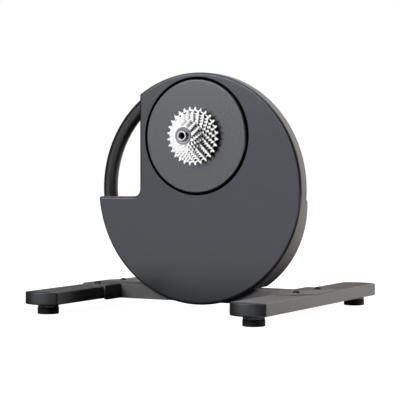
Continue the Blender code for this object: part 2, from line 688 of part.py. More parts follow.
def build_main_frame(mats):
    """Cast frame behind the cover: a dish with bosses, board posts, floor and handle sockets."""
    front = PARTING_Y + GAP
    rings = [at_depth(body_outline(FRAME_WALL + inset), BACK_Y - FRAME_BACK_WALL - depth)
             for depth, inset in ellipse_steps(BACK_FILLET_DEPTH - FRAME_BACK_WALL,
                                               BACK_FILLET_INSET - FRAME_WALL, FILLET_STEPS)]
    rings.append(at_depth(body_outline(FRAME_WALL), front))
    rings.append(at_depth(body_outline(0), front))
    for depth, inset in reversed(ellipse_steps(BACK_FILLET_DEPTH, BACK_FILLET_INSET,
                                               FILLET_STEPS)):
        rings.append(at_depth(body_outline(inset), BACK_Y - depth))
    bm = bmesh.new()
    skin(bm, rings)
    frame = add_object("main_frame", bm, mats["paint"])

    # solid form of the frame, a little smaller, that trims what is added inside it
    margin = 1.0 * MM
    rings = [at_depth(body_outline(margin), front)]
    for depth, inset in reversed(ellipse_steps(BACK_FILLET_DEPTH, BACK_FILLET_INSET,
                                               FILLET_STEPS)):
        rings.append(at_depth(body_outline(inset + margin), BACK_Y - margin - depth))
    bm = bmesh.new()
    skin(bm, rings)
    envelope = add_tool("frame_envelope_tool", bm)

    floor = add_tool("frame_floor_tool", box((-BODY_RADIUS, front, SPINE_TOP - FRAME_FLOOR),
                                             (BODY_RADIUS, BACK_Y, SPINE_TOP + GAP + FRAME_FLOOR)))
    combine(floor, envelope, "INTERSECT")
    sockets = handle_socket_tool("handle_socket_tool")
    combine(sockets, envelope, "INTERSECT")
    inside = add_tool("socket_trim_tool", prism_y(body_outline(-GAP), front + GAP, BACK_Y))
    combine(sockets, inside, "INTERSECT")
    join(frame, floor, sockets)

    for side in (-1, 1):
        boss = add_tool(f"bolt_boss_tool_{side}",
                        prism_z(circle(8 * MM, TINY_STEPS, (side * BODY_BOLT_X,
                                                            (front + BACK_Y) / 2)),
                                SPINE_TOP + GAP + FRAME_FLOOR / 2,
                                SPINE_TOP + BODY_BOLT_LENGTH))
        join(frame, boss)

    inner = BACK_Y - FRAME_BACK_WALL
    middle = (inner + BACK_Y) / 2
    hub_boss = add_tool("hub_boss_tool", hub_cylinder(AXLE_RADIUS + 8 * MM,
                                                      PULLEY_HUB_Y1 + GAP, middle, SMALL_STEPS))
    shaft_boss = add_tool("shaft_boss_tool",
                          prism_y(circle(SHAFT_BOSS_RADIUS, MID_STEPS, (0, FLYWHEEL_Z)),
                                  inner - 2 * MM, SHAFT_BOSS_END_Y))
    pivot = idler_pivot()
    pivot_post = add_tool("pivot_post_tool",
                          prism_y(circle(IDLER_PIVOT_RADIUS, SMALL_STEPS, pivot),
                                  inner - GAP - IDLER_ARM_THICKNESS - 1 * MM, middle))
    join(frame, hub_boss, shaft_boss, pivot_post)
    for i, (x, z) in enumerate(board_corners()):
        post = add_tool(f"board_post_tool_{i}", prism_y(circle(POST_RADIUS, TINY_STEPS, (x, z)),
                                                        inner - POST_LENGTH, middle))
        join(frame, post)

    axle_hole = add_tool("axle_hole_tool", hub_cylinder(AXLE_RADIUS + GAP, PARTING_Y, 0,
                                                        SMALL_STEPS))
    seat = SHAFT_BEARING_RADIUS + GAP
    shoulder = SHAFT_BEARING_RADIUS - 3 * MM
    seat_front = inner - 2 * MM + GAP + SHAFT_BEARING_WIDTH
    seat_back = SHAFT_BOSS_END_Y - GAP - SHAFT_BEARING_WIDTH
    centre = (0, FLYWHEEL_Z)
    shaft_hole = add_tool("shaft_hole_tool", prism_y(circle(shoulder, MID_STEPS, centre),
                                                     PARTING_Y, HOUSING_BACK_Y))
    front_seat = add_tool("front_seat_tool", prism_y(circle(seat, MID_STEPS, centre),
                                                     PARTING_Y, seat_front))
    back_seat = add_tool("back_seat_tool", prism_y(circle(seat, MID_STEPS, centre),
                                                   seat_back, HOUSING_BACK_Y))
    below = add_tool("frame_bottom_tool", box((-BODY_RADIUS, FACE_Y, -SPINE_TOP),
                                              (BODY_RADIUS, HOUSING_BACK_Y, SPINE_TOP + GAP)))
    cut(frame, axle_hole, shaft_hole, front_seat, back_seat, below,
        bpy.data.objects["handle_hole_tool"])
    for side in (-1, 1):
        cut(frame, bpy.data.objects[f"body_bolt_hole_tool_{side}"])


def build_housing(mats):
    """Flywheel housing: a deep dish that closes against the back of the main frame."""
    wall = HOUSING_WALL
    rings = [at_depth(housing_outline(wall + inset), HOUSING_BACK_Y - wall - depth)
             for depth, inset in ellipse_steps(HOUSING_FILLET - wall, HOUSING_FILLET - wall,
                                               FILLET_STEPS - 1)]
    rings.append(at_depth(housing_outline(wall), HOUSING_Y))
    rings.append(at_depth(housing_outline(0), HOUSING_Y))
    for depth, inset in reversed(ellipse_steps(HOUSING_FILLET, HOUSING_FILLET, FILLET_STEPS)):
        rings.append(at_depth(housing_outline(inset), HOUSING_BACK_Y - depth))
    bm = bmesh.new()
    skin(bm, rings)
    housing = add_object("flywheel_housing", bm, mats["paint"])
    hole = add_tool("power_hole_tool",
                    prism_y(circle(SOCKET_RADIUS + GAP, SMALL_STEPS, (SOCKET_X, SOCKET_Z)),
                            BACK_Y + SOCKET_LENGTH, HOUSING_BACK_Y + SOCKET_LENGTH))
    cut(housing, hole)
    flange = HOUSING_BACK_Y + GAP
    profile = [(0, flange - SOCKET_LENGTH), (SOCKET_RADIUS, flange - SOCKET_LENGTH),
               (SOCKET_RADIUS, flange), (SOCKET_FLANGE, flange),
               (SOCKET_FLANGE, flange + SOCKET_FLANGE_LENGTH),
               (SOCKET_BORE, flange + SOCKET_FLANGE_LENGTH),
               (SOCKET_BORE, flange + SOCKET_FLANGE_LENGTH - SOCKET_DEPTH),
               (0, flange + SOCKET_FLANGE_LENGTH - SOCKET_DEPTH)]
    add_object("power_socket", turned(profile, SMALL_STEPS), mats["plastic"],
               (SOCKET_X, 0, SOCKET_Z))


def build_rear_cover(mats):
    """Round back plate with the tapered boss that carries the far end of the axle."""
    back = HOUSING_Y + REAR_COVER_THICKNESS
    tip = FAR_END_Y - FAR_CAP_LENGTH - GAP
    bore = AXLE_RADIUS + GAP
    edge = 1.2 * MM
    radius = REAR_COVER_RADIUS
    profile = [(bore, HOUSING_Y), (radius, HOUSING_Y), (radius, back - edge), (radius - edge, back),
               (BOSS_ROOT_RADIUS + 6 * MM, back), (BOSS_ROOT_RADIUS, back + 2.5 * MM),
               (BOSS_TIP_RADIUS + 3 * MM, tip - 2 * MM), (BOSS_TIP_RADIUS, tip),
               (bore, tip)]
    add_object("rear_cover", turned(profile, MID_STEPS), mats["paint"],
               (0, 0, AXLE_HEIGHT))


def build_handle(mats):
    """Carry handle: a steel tube bent about the body's centre."""
    bar = handle_path(HANDLE_RADIUS, 0, HANDLE_SIDES, HANDLE_RADIUS - HANDLE_WALL)
    add_object("handle_tube", bar, mats["handle"])


def build_base(mats):
    """Spine with its two saddle ends, leg tubes, end caps and bolts."""
    half = SPINE_HALF_WIDTH
    outline = [(half, SPINE_BOTTOM), (half, SPINE_TOP - SPINE_EDGE), (half - SPINE_EDGE, SPINE_TOP),
               (SPINE_EDGE - half, SPINE_TOP), (-half, SPINE_TOP - SPINE_EDGE),
               (-half, SPINE_BOTTOM)]
    bm = bmesh.new()
    skin(bm, [[Vector((x, y, z)) for y, z in outline] for x in (-SADDLE_X, SADDLE_X)])
    spine = add_object("base_spine", bm, mats["base"])
    under = add_tool("spine_channel_tool",
                     box((-SADDLE_X, SPINE_WALL - half, SPINE_BOTTOM - SPINE_WALL),
                         (SADDLE_X, half - SPINE_WALL, SPINE_TOP - SPINE_WALL)))
    length = SADDLE_HALF_LENGTH
    for side, word in ((-1, "rear"), (1, "front")):
        plate = [(SADDLE_X, -length), (LEG_OUTER_X - SADDLE_CHAMFER_X, -length),
                 (LEG_OUTER_X, SADDLE_CHAMFER_Y - length), (LEG_OUTER_X, length - SADDLE_CHAMFER_Y),
                 (LEG_OUTER_X - SADDLE_CHAMFER_X, length), (SADDLE_X, length)]
        top = add_tool(f"saddle_top_tool_{word}",
                       prism_z([(side * x, y) for x, y in plate], SPINE_TOP - SADDLE_PLATE,
                               SPINE_TOP))
        fillet = SADDLE_FILLET
        wall = arc((-length + fillet, SPINE_BOTTOM + fillet), fillet, 180, 270, FILLET_STEPS)
        wall += arc((length - fillet, SPINE_BOTTOM + fillet), fillet, 270, 360, FILLET_STEPS)
        wall += [(length, SPINE_TOP), (-length, SPINE_TOP)]
        bm = bmesh.new()
        skin(bm, [[Vector((side * x, y, z)) for y, z in wall]
                  for x in (SADDLE_X, SADDLE_X + SADDLE_WALL)])
        web = add_tool(f"saddle_wall_tool_{word}", bm)
        join(spine, top, web)
    cut(spine, under)
    for x in (-BODY_BOLT_X, BODY_BOLT_X):
        side = int(math.copysign(1, x))
        cut(spine, bpy.data.objects[f"body_bolt_hole_tool_{side}"])
        bolt = bolt_mesh(BODY_BOLT_LENGTH)
        item = add_object(f"body_bolt_{'rear' if side < 0 else 'front'}", bolt, mats["steel"],
                          (x, body_bolt_y(), SPINE_TOP - SPINE_WALL - GAP))
        item.rotation_euler = (math.pi, 0, 0)

    outer = rounded_box_outline(LEG_WIDTH / 2, LEG_BOTTOM, LEG_TOP, LEG_EDGE)
    low, high, half = LEG_BOTTOM + LEG_WALL, LEG_TOP - LEG_WALL, LEG_WIDTH / 2 - LEG_WALL
    inner = [(half, low), (half, high), (-half, high), (-half, low)]
    end = LEG_LENGTH / 2
    for side, word in ((-1, "rear"), (1, "front")):
        bm = stacked([(outer, -end), (outer, end), (inner, end), (inner, -end)])
        leg = add_object(f"{word}_leg", bm, mats["base"], (side * LEG_X, 0, 0))
        for y_side, y_word in ((-1, "drive"), (1, "far")):
            bolt_at = (side * LEG_X, y_side * LEG_BOLT_Y)
            hole = add_tool(f"leg_bolt_hole_tool_{word}_{y_word}",
                            prism_z(circle(BOLT_RADIUS + GAP, BOLT_STEPS, bolt_at),
                                    LEG_TOP - 2 * LEG_WALL, SPINE_TOP + SADDLE_PLATE))
            cut(leg, hole)
            cut(spine, hole)
            add_object(f"leg_bolt_{word}_{y_word}", bolt_mesh(LEG_BOLT_LENGTH), mats["steel"],
                       (*bolt_at, SPINE_TOP + GAP))
            foot_at = (side * LEG_X, y_side * FOOT_Y)
            hole = add_tool(f"foot_hole_tool_{word}_{y_word}",
                            prism_z(circle(STUD_RADIUS + GAP, BOLT_STEPS, foot_at),
                                    0, LEG_BOTTOM + 2 * LEG_WALL))
            cut(leg, hole)
            build_end_cap(f"leg_cap_{word}_{y_word}", side, y_side, mats["cap_plastic"])
            build_foot(f"{word}_{y_word}", foot_at, mats)


def build_end_cap(name, side, y_side, mat):
    """Moulded cap: a rounded end with eased edges, and a plug that fits in the leg tube."""
    start = LEG_LENGTH / 2 + GAP
    straight = start + CAP_SIDE
    half = LEG_WIDTH / 2

    def plan(inset):
        """Half-moon end: straight sides, rounded corners and a wide arc."""
        width = half - inset
        bulge = CAP_BULGE
        radius = (half ** 2 + bulge ** 2) / (2 * bulge)
        centre = straight + bulge - radius
        arc_radius = radius - inset
        corner = max(CAP_CORNER - inset, 0.5 * MM)
        x = width - corner
        y = centre + math.sqrt((arc_radius - corner) ** 2 - x ** 2)
        turn = math.degrees(math.atan2(y - centre, x))
        right = [(width, start)] + arc((x, y), corner, 0, turn, FILLET_STEPS)[:-1]
        right += arc((0, centre), arc_radius, turn, 90, 2 * FILLET_STEPS)
        return right + [(-a, b) for a, b in reversed(right[:-1])]

    edge = CAP_EDGE
    levels = [(depth, inset) for depth, inset in ellipse_steps(edge, edge, 1)]
    rings = [(inset, LEG_BOTTOM + depth) for depth, inset in levels]
    rings += [(inset, LEG_TOP - depth) for depth, inset in reversed(levels)]
    bm = bmesh.new()
    skin(bm, [[Vector((a, y_side * b, z)) for a, b in plan(inset)] for inset, z in rings])
    cap = add_object(name, bm, mat, (side * LEG_X, 0, 0))
    reach = sorted((y_side * (start - CAP_PLUG), y_side * (start + CAP_SIDE)))
    plug_half = half - LEG_WALL - GAP
    plug = add_tool(f"{name}_plug_tool",
                    box((side * LEG_X - plug_half, reach[0], LEG_BOTTOM + LEG_WALL + GAP),
                        (side * LEG_X + plug_half, reach[1], LEG_TOP - LEG_WALL - GAP)))
    join(cap, plug)


def build_foot(word, place, mats):
    """Adjustable foot: knurled wheel with its stud, and the rubber pad under it."""
    outline = []
    for i in range(2 * WHEEL_RIBS):
        angle = math.pi * i / WHEEL_RIBS
        radius = WHEEL_RADIUS - (WHEEL_RIB_DEPTH if i % 2 else 0)
        outline.append((radius * math.cos(angle), radius * math.sin(angle)))
    low = PAD_HEIGHT + GAP
    wheel = add_object(f"foot_screw_{word}", prism_z(outline, low, low + WHEEL_HEIGHT),
                       mats["plastic"], (*place, 0))
    stud = add_tool(f"stud_tool_{word}",
                    prism_z(circle(STUD_RADIUS, BOLT_STEPS, place), low + WHEEL_HEIGHT / 2,
                            low + WHEEL_HEIGHT + STUD_LENGTH))
    join(wheel, stud)
    edge = PAD_CHAMFER
    profile = [(0, 0), (PAD_RADIUS - edge, 0), (PAD_RADIUS, edge), (PAD_RADIUS, PAD_HEIGHT),
               (0, PAD_HEIGHT)]
    add_object(f"foot_pad_{word}", turned(profile, MID_STEPS, "Z"), mats["rubber"], (*place, 0))


def build_hub(mats):
    """Hollow axle, its two end caps, and the bearings in the pulley's hub."""
    steps = SMALL_STEPS
    start = DRIVE_END_Y + DRIVE_CAP_LENGTH + GAP
    end = FAR_END_Y - FAR_CAP_LENGTH - GAP
    place = (0, 0, AXLE_HEIGHT)
    add_object("hub_axle", ring(AXLE_BORE, AXLE_RADIUS, start, end, steps), mats["steel"], place)
    add_object("drive_end_cap", ring(AXLE_BORE, DRIVE_CAP_RADIUS, DRIVE_END_Y,
                                     DRIVE_END_Y + DRIVE_CAP_LENGTH, MID_STEPS),
               mats["bright"], place)
    add_object("far_end_cap", ring(AXLE_BORE, FAR_CAP_RADIUS, FAR_END_Y - FAR_CAP_LENGTH,
                                   FAR_END_Y, MID_STEPS), mats["bright"], place)
    for word, y in (("drive", PULLEY_HUB_Y0 + GAP),
                    ("far", PULLEY_HUB_Y1 - GAP - HUB_BEARING_WIDTH)):
        add_object(f"hub_bearing_{word}",
                   ring(AXLE_RADIUS + GAP, HUB_BEARING_RADIUS, y, y + HUB_BEARING_WIDTH, steps),
                   mats["steel"], place)


def build_cassette(mats):
    """Splined freehub body, eleven sprockets with their collars, and the lockring."""
    place = (0, 0, AXLE_HEIGHT)
    bore = AXLE_RADIUS + GAP
    flange_y = FIRST_COG_Y + COG_THICKNESS / 2 + GAP
    barrel = splined(SPLINE_RADIUS, SPLINE_DEPTH)
    seat = LOCKRING_THREAD_RADIUS + GAP
    seat_y = LOCKRING_Y + LOCKRING_FLANGE + LOCKRING_THREAD_LENGTH + GAP
    neck = SPLINE_RADIUS - SPLINE_DEPTH
    rounds = [(FREEHUB_FLANGE, flange_y), (FREEHUB_FLANGE, flange_y + FREEHUB_FLANGE_LENGTH),
              (neck, flange_y + FREEHUB_FLANGE_LENGTH), (neck, FREEHUB_Y1), (bore, FREEHUB_Y1),
              (bore, seat_y), (seat, seat_y), (seat, FREEHUB_Y0)]
    sections = [(barrel, FREEHUB_Y0), (barrel, flange_y)]
    sections += [(circle(radius, SMALL_STEPS), y) for radius, y in rounds]
    add_object("freehub_body", stacked(sections), mats["steel"], place)

    hole = splined(COG_BORE, SPLINE_DEPTH)
    lip = circle(LOCKRING_THREAD_RADIUS + GAP, SMALL_STEPS)
    for i, teeth in enumerate(COG_TEETH):
        middle = FIRST_COG_Y - COG_SPACING * i
        front = middle - COG_THICKNESS / 2
        back = middle + COG_THICKNESS / 2
        rear = back + COG_SPACING - COG_THICKNESS - GAP
        edge = tooth_outline(teeth)
        collar = circle(min(COG_BORE + COLLAR_WALL, root_radius(teeth) - GAP), SMALL_STEPS)
        if i == 0:
            sections = [(hole, front), (edge, front), (edge, back), (hole, back)]
        elif i == len(COG_TEETH) - 1:
            lip_y = FREEHUB_Y0 - GAP
            sections = [(lip, front), (edge, front), (edge, back), (collar, back), (collar, rear),
                        (hole, rear), (hole, lip_y), (lip, lip_y)]
        else:
            sections = [(hole, front), (edge, front), (edge, back), (collar, back), (collar, rear),
                        (hole, rear)]
        add_object(f"cog_{teeth}", stacked(sections), mats["cog"], place)

    notched = []
    pitch = 360 / LOCKRING_NOTCHES
    deep = LOCKRING_BORE + LOCKRING_NOTCH
    for i in range(LOCKRING_NOTCHES):
        for share, r in ((-0.2, deep), (0.2, deep), (0.5, LOCKRING_BORE)):
            a = math.radians(pitch * (i + share))
            notched.append((r * math.cos(a), r * math.sin(a)))
    rim = circle(LOCKRING_RADIUS, MID_STEPS)
    thread = circle(LOCKRING_THREAD_RADIUS, SMALL_STEPS)
    flange_back = LOCKRING_Y + LOCKRING_FLANGE
    thread_back = flange_back + LOCKRING_THREAD_LENGTH
    sections = [(notched, LOCKRING_Y), (rim, LOCKRING_Y), (rim, flange_back),
                (thread, flange_back), (thread, thread_back), (notched, thread_back)]
    add_object("lockring", stacked(sections), mats["lockring"], place)


def flanged(radius, bore, web):
    """Profile of a pulley rim with a flange at each side of the belt."""
    surface = radius - BELT_INSET
    flange = surface + FLANGE_HEIGHT
    return [(bore, PULLEY_Y0), (flange, PULLEY_Y0), (flange, PULLEY_Y0 + FLANGE_WIDTH),
            (surface, PULLEY_Y0 + FLANGE_WIDTH), (surface, PULLEY_Y1 - FLANGE_WIDTH),
            (flange, PULLEY_Y1 - FLANGE_WIDTH), (flange, PULLEY_Y1), (bore, PULLEY_Y1)] + web


def build_drive(mats):
    """Large pulley, belt, small pulley and idler."""
    place = (0, 0, AXLE_HEIGHT)
    rim = PULLEY_RADIUS - BELT_INSET - PULLEY_RIM
    seat = HUB_BEARING_RADIUS + GAP
    half_web = PULLEY_WEB / 2
    hub = PULLEY_HUB_RADIUS
    profile = flanged(PULLEY_RADIUS, rim, [
        (rim, BELT_CENTRE_Y + half_web), (hub, BELT_CENTRE_Y + half_web), (hub, PULLEY_HUB_Y1),
        (seat, PULLEY_HUB_Y1), (seat, PULLEY_HUB_Y0), (hub, PULLEY_HUB_Y0),
        (hub, BELT_CENTRE_Y - half_web), (rim, BELT_CENTRE_Y - half_web)])
    pulley = add_object("drive_pulley", turned(profile, MID_STEPS), mats["alloy"], place)
    ring_middle = (hub + rim) / 2
    for i in range(PULLEY_HOLES):
        angle = math.tau * i / PULLEY_HOLES
        centre = (ring_middle * math.cos(angle), AXLE_HEIGHT + ring_middle * math.sin(angle))
        hole = add_tool(f"pulley_hole_tool_{i}",
                        prism_y(circle(PULLEY_HOLE_RADIUS, TINY_STEPS, centre),
                                PULLEY_Y0, PULLEY_Y1))
        cut(pulley, hole)

    profile = flanged(SMALL_PULLEY_RADIUS, SHAFT_RADIUS + GAP, [])
    add_object("flywheel_pulley", turned(profile, SMALL_STEPS), mats["alloy"],
               (0, 0, FLYWHEEL_Z))

    half = BELT_THICKNESS / 2
    reach = IDLER_RADIUS + GAP + half
    line = belt_line([(0, AXLE_HEIGHT, PULLEY_RADIUS, 1, MID_STEPS),
                      (IDLER_X, IDLER_Z, reach, -1, 2 * FILLET_STEPS),
                      (0, FLYWHEEL_Z, SMALL_PULLEY_RADIUS, 1, TINY_STEPS)])
    rings = []
    for i, (x, z) in enumerate(line):
        xa, za = line[i - 1]
        xb, zb = line[(i + 1) % len(line)]
        along = Vector((xb - xa, zb - za)).normalized()
        out = Vector((-along.y, along.x)) * half
        low, high = BELT_CENTRE_Y - BELT_WIDTH / 2, BELT_CENTRE_Y + BELT_WIDTH / 2
        rings.append([Vector((x + out.x, low, z + out.y)), Vector((x + out.x, high, z + out.y)),
                      Vector((x - out.x, high, z - out.y)), Vector((x - out.x, low, z - out.y))])
    bm = bmesh.new()
    skin(bm, rings, closed=True)
    add_object("belt", bm, mats["rubber"])

    inner = BACK_Y - FRAME_BACK_WALL
    arm_y0 = inner - GAP - IDLER_ARM_THICKNESS
    add_object("idler_pulley", ring(IDLER_PIN_RADIUS + GAP, IDLER_RADIUS,
                                    BELT_CENTRE_Y - BELT_WIDTH / 2, arm_y0 - GAP, SMALL_STEPS),
               mats["alloy"], (IDLER_X, 0, IDLER_Z))
    pivot = idler_pivot()
    wide = IDLER_PIN_RADIUS + 5 * MM
    along = math.degrees(math.atan2(pivot[1] - IDLER_Z, pivot[0] - IDLER_X))
    outline = arc((IDLER_X, IDLER_Z), wide, along + 90, along + 270, TINY_STEPS // 2)
    outline += arc(pivot, wide + 2 * MM, along - 90, along + 90, TINY_STEPS // 2)
    arm = add_object("idler_arm", prism_y(outline, arm_y0, inner - GAP), mats["steel"])
    pin = add_tool("idler_pin_tool",
                   prism_y(circle(IDLER_PIN_RADIUS, SMALL_STEPS, (IDLER_X, IDLER_Z)),
                           BELT_CENTRE_Y - BELT_WIDTH / 2, arm_y0 + IDLER_ARM_THICKNESS / 2))
    eye = add_tool("idler_eye_tool",
                   prism_y(circle(IDLER_PIVOT_RADIUS + GAP, SMALL_STEPS, pivot), arm_y0 - 1 * MM,
                           inner))
    join(arm, pin)
    cut(arm, eye)


def idler_pivot():
    """Pivot of the idler's arm."""
    angle = math.radians(IDLER_ARM_ANGLE)
    return (IDLER_X + IDLER_ARM_LENGTH * math.cos(angle),
            IDLER_Z + IDLER_ARM_LENGTH * math.sin(angle))


def board_corners():
    """Centres of the posts that carry the control board."""
    dx = BOARD_WIDTH / 2 - POST_INSET
    dz = BOARD_HEIGHT / 2 - POST_INSET
    return [(BOARD_X + sx * dx, BOARD_Z + sz * dz) for sx in (-1, 1) for sz in (-1, 1)]


def body_bolt_y():
    return (PARTING_Y + GAP + BACK_Y) / 2


def build_flywheel(mats):
    """Flywheel with its shaft and bearings, the brake's magnet ring, and the control board."""
    place = (0, 0, FLYWHEEL_Z)
    inner = BACK_Y - FRAME_BACK_WALL
    back = FLYWHEEL_BACK_Y
    front = back - FLYWHEEL_WIDTH
    web = back - FLYWHEEL_WEB
    hub_front = SHAFT_BOSS_END_Y + RUNNING_GAP
    rim = FLYWHEEL_RADIUS - FLYWHEEL_RIM
    bore = SHAFT_RADIUS + GAP
    profile = [(bore, hub_front), (FLYWHEEL_HUB, hub_front), (FLYWHEEL_HUB, web), (rim, web),
               (rim, front), (FLYWHEEL_RADIUS, front), (FLYWHEEL_RADIUS, back), (bore, back)]
    add_object("flywheel", turned(profile, MID_STEPS), mats["steel"], place)
    add_object("flywheel_shaft", rod(SHAFT_RADIUS, PULLEY_HUB_Y0, back + 2 * MM, SMALL_STEPS),
               mats["steel"], place)
    for word, y in (("drive", inner - 2 * MM),
                    ("far", SHAFT_BOSS_END_Y - SHAFT_BEARING_WIDTH)):
        add_object(f"shaft_bearing_{word}",
                   ring(SHAFT_RADIUS + GAP, SHAFT_BEARING_RADIUS, y, y + SHAFT_BEARING_WIDTH,
                        SMALL_STEPS), mats["steel"], place)

    start = web - RUNNING_GAP - STATOR_WIDTH
    star = []
    turn = 360 / STATOR_POLES
    half = STATOR_POLE_WIDTH / 2
    neck = STATOR_RADIUS - STATOR_SHOE
    shoe = math.radians(turn * 0.38)
    for i in range(STATOR_POLES):
        pole = [(STATOR_CORE, -half), (neck, -half),
                (STATOR_RADIUS * math.cos(shoe), -STATOR_RADIUS * math.sin(shoe)),
                (STATOR_RADIUS, 0),
                (STATOR_RADIUS * math.cos(shoe), STATOR_RADIUS * math.sin(shoe)),
                (neck, half), (STATOR_CORE, half)]
        star += rotated(pole, i * turn)
    bore = circle(SHAFT_BOSS_RADIUS + GAP, MID_STEPS)
    stop = start + STATOR_WIDTH
    add_object("brake_magnets", stacked([(star, start), (star, stop), (bore, stop),
                                         (bore, start)]), mats["copper"], place)

    half_width = BOARD_WIDTH / 2
    half_height = BOARD_HEIGHT / 2
    add_object("control_board",
               box((BOARD_X - half_width, BOARD_Y - BOARD_THICKNESS, BOARD_Z - half_height),
                   (BOARD_X + half_width, BOARD_Y, BOARD_Z + half_height)), mats["board"])


def build():
    clear_scene()
    mats = {
        "paint": material("satin_dark_grey_paint", "515357", 0.42, 0.35),
        "cap": material("satin_grey_cover", "606266", 0.42, 0.35),
        "base": material("base_grey_paint", "4a4a4b", 0.45, 0.35),
        "cap_plastic": material("leg_cap_plastic", "3c3c3e", 0.5),
        "handle": material("black_handle_paint", "1c1d20", 0.35),
        "plastic": material("black_plastic", "1d1d1f", 0.5),
        "rubber": material("black_rubber", "161617", 0.8),
        "steel": material("steel", "b9babd", 0.3, 1.0),
        "bright": material("bright_alloy", "dfe0e2", 0.22, 1.0),
        "cog": material("plated_cog_steel", "d4d5d6", 0.25, 1.0),
        "lockring": material("lockring_alloy", "9a9b9d", 0.35, 1.0),
        "alloy": material("machined_alloy", "b4b6b9", 0.35, 1.0),
        "copper": material("brake_copper", "9a5a35", 0.4, 0.8),
        "board": material("circuit_board", "1f4a33", 0.5),
    }
    add_tool("handle_hole_tool", handle_path(HANDLE_RADIUS + GAP, GAP, HANDLE_SIDES))
    notch = SPINE_HALF_WIDTH + GAP
    add_tool("spine_notch_tool", box((-BODY_RADIUS, -notch, -SPINE_TOP),
                                     (BODY_RADIUS, notch, SPINE_TOP + GAP)))
    for side in (-1, 1):
        place = (side * BODY_BOLT_X, body_bolt_y())
        top = SPINE_TOP - SPINE_WALL - GAP + BODY_BOLT_LENGTH + GAP
        add_tool(f"body_bolt_hole_tool_{side}",
                 prism_z(circle(BOLT_RADIUS + GAP, BOLT_STEPS, place), SPINE_BOTTOM, top))
    build_cover(mats)
    build_hub_cover(mats)
    build_main_frame(mats)
    build_housing(mats)
    build_rear_cover(mats)
    build_handle(mats)
    build_base(mats)
    build_hub(mats)
    build_cassette(mats)
    build_drive(mats)
    build_flywheel(mats)


build()
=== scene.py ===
"""Bicycle trainer in a studio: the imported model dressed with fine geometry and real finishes.

Frame: X runs along the bicycle (+X forward), -Y is the drive side, Z is up.  The origin is on
the floor, midway between the four feet.  Lengths are metres.
"""

import logging
import math
from dataclasses import dataclass, field
from enum import Enum
from functools import lru_cache
from typing import Callable, Sequence

import bmesh
import bpy
from mathutils import Matrix, Vector


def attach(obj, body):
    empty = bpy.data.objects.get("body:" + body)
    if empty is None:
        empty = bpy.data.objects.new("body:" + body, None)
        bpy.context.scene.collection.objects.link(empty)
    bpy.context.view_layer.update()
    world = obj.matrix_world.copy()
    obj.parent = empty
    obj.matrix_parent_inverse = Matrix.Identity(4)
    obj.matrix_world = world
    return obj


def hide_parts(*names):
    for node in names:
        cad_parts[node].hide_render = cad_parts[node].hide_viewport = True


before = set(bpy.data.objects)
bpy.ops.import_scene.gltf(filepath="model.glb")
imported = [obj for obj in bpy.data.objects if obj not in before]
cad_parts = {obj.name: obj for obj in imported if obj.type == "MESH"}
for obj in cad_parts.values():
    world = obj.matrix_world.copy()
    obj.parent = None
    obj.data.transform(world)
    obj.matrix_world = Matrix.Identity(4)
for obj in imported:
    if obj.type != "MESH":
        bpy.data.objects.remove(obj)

logging.basicConfig(level=logging.INFO, format="%(message)s")
log = logging.getLogger("trainer")

BMesh = bmesh.types.BMesh
Edges = list[bmesh.types.BMEdge]
Material = bpy.types.Material
Point2 = tuple[float, float]
Point3 = tuple[float, float, float]
Outline = list[Point2]
Section = tuple[Outline, float]     # an outline and its level

MM = 0.001
GAP = 0.3 * MM          # between neighbouring pieces
LEAD = 0.4 * MM         # flat beside a small rounding, which keeps large faces evenly shaded
FACE_LEAD = 0.6 * MM    # the same beside the roundings of the drive-side face
BACK_LEAD = 0.8 * MM    # the same beside the wide roundings at the back
LEAST_BEND = 0.4 * MM   # smallest corner radius of an outline that is moved inwards
SMOOTH_BELOW = 32.0     # degrees between two faces that are shaded as one surface
SHARP_ABOVE = 60.0      # degrees between two faces whose edge is rounded
ALONG_X, ALONG_Y, ALONG_Z = (Vector(row) for row in Matrix.Identity(3))


# ---- Outlines ----


def polar(radius: float, angle: float, centre: Point2 = (0.0, 0.0)) -> Point2:
    """Point at a distance and an angle in radians from a centre."""
    return centre[0] + radius * math.cos(angle), centre[1] + radius * math.sin(angle)


def arc(centre: Point2, radius: float, start: float, end: float, steps: int) -> Outline:
    """Points on an arc with both ends.

    Args:
        centre: Centre of the arc.
        radius: Its radius.
        start: First angle in degrees.
        end: Last angle in degrees.
        steps: Number of chords.

    Returns:
        The points in order.
    """
    angles = (math.radians(start + (end - start) * i / steps) for i in range(steps + 1))
    return [polar(radius, angle, centre) for angle in angles]


def corner(centre: Point2, radius: float, start: float, steps: int) -> Outline:
    """Arc of 90 degrees with a short flat at either end, which takes what arc takes."""
    points = arc(centre, radius, start, start + 90, steps)
    before = polar(-LEAD, math.radians(start + 90), points[0])
    return [before, *points, polar(LEAD, math.radians(start + 180), points[-1])]


def circle(radius: float, steps: int, centre: Point2 = (0.0, 0.0)) -> Outline:
    """Full circle without a doubled last point."""
    return arc(centre, radius, 0, 360 * (1 - 1 / steps), steps - 1)


def rounding(level: float, depth: float, steps: int, inset: float = 0.0) -> list[Point2]:
    """Quarter ellipse of a rounded edge beside a flat face.

    Args:
        level: Level of the face.
        depth: How deep the rounding reaches from there; negative for a face at the back.
        steps: Number of chords.
        inset: How far it reaches in from the outer edge; 0 stands for as far as it is deep.

    Returns:
        Pairs of (inset from the outer edge, level), in order of rising level.
    """
    wide = inset or abs(depth)
    angles = (math.pi / 2 * i / steps for i in range(steps + 1))
    pairs = [(wide * (1 - math.sin(a)), level + depth * (1 - math.cos(a))) for a in angles]
    return pairs if depth > 0 else pairs[::-1]


def rings(shape: Callable[[float], Outline], edge: Sequence[Point2]) -> list[Section]:
    """Sections of a shape all along its edge.

    Args:
        shape: Gives the outline for an inset.
        edge: Pairs of (inset, level).

    Returns:
        Pairs of (outline, level).
    """
    return [(shape(inset), level) for inset, level in edge]


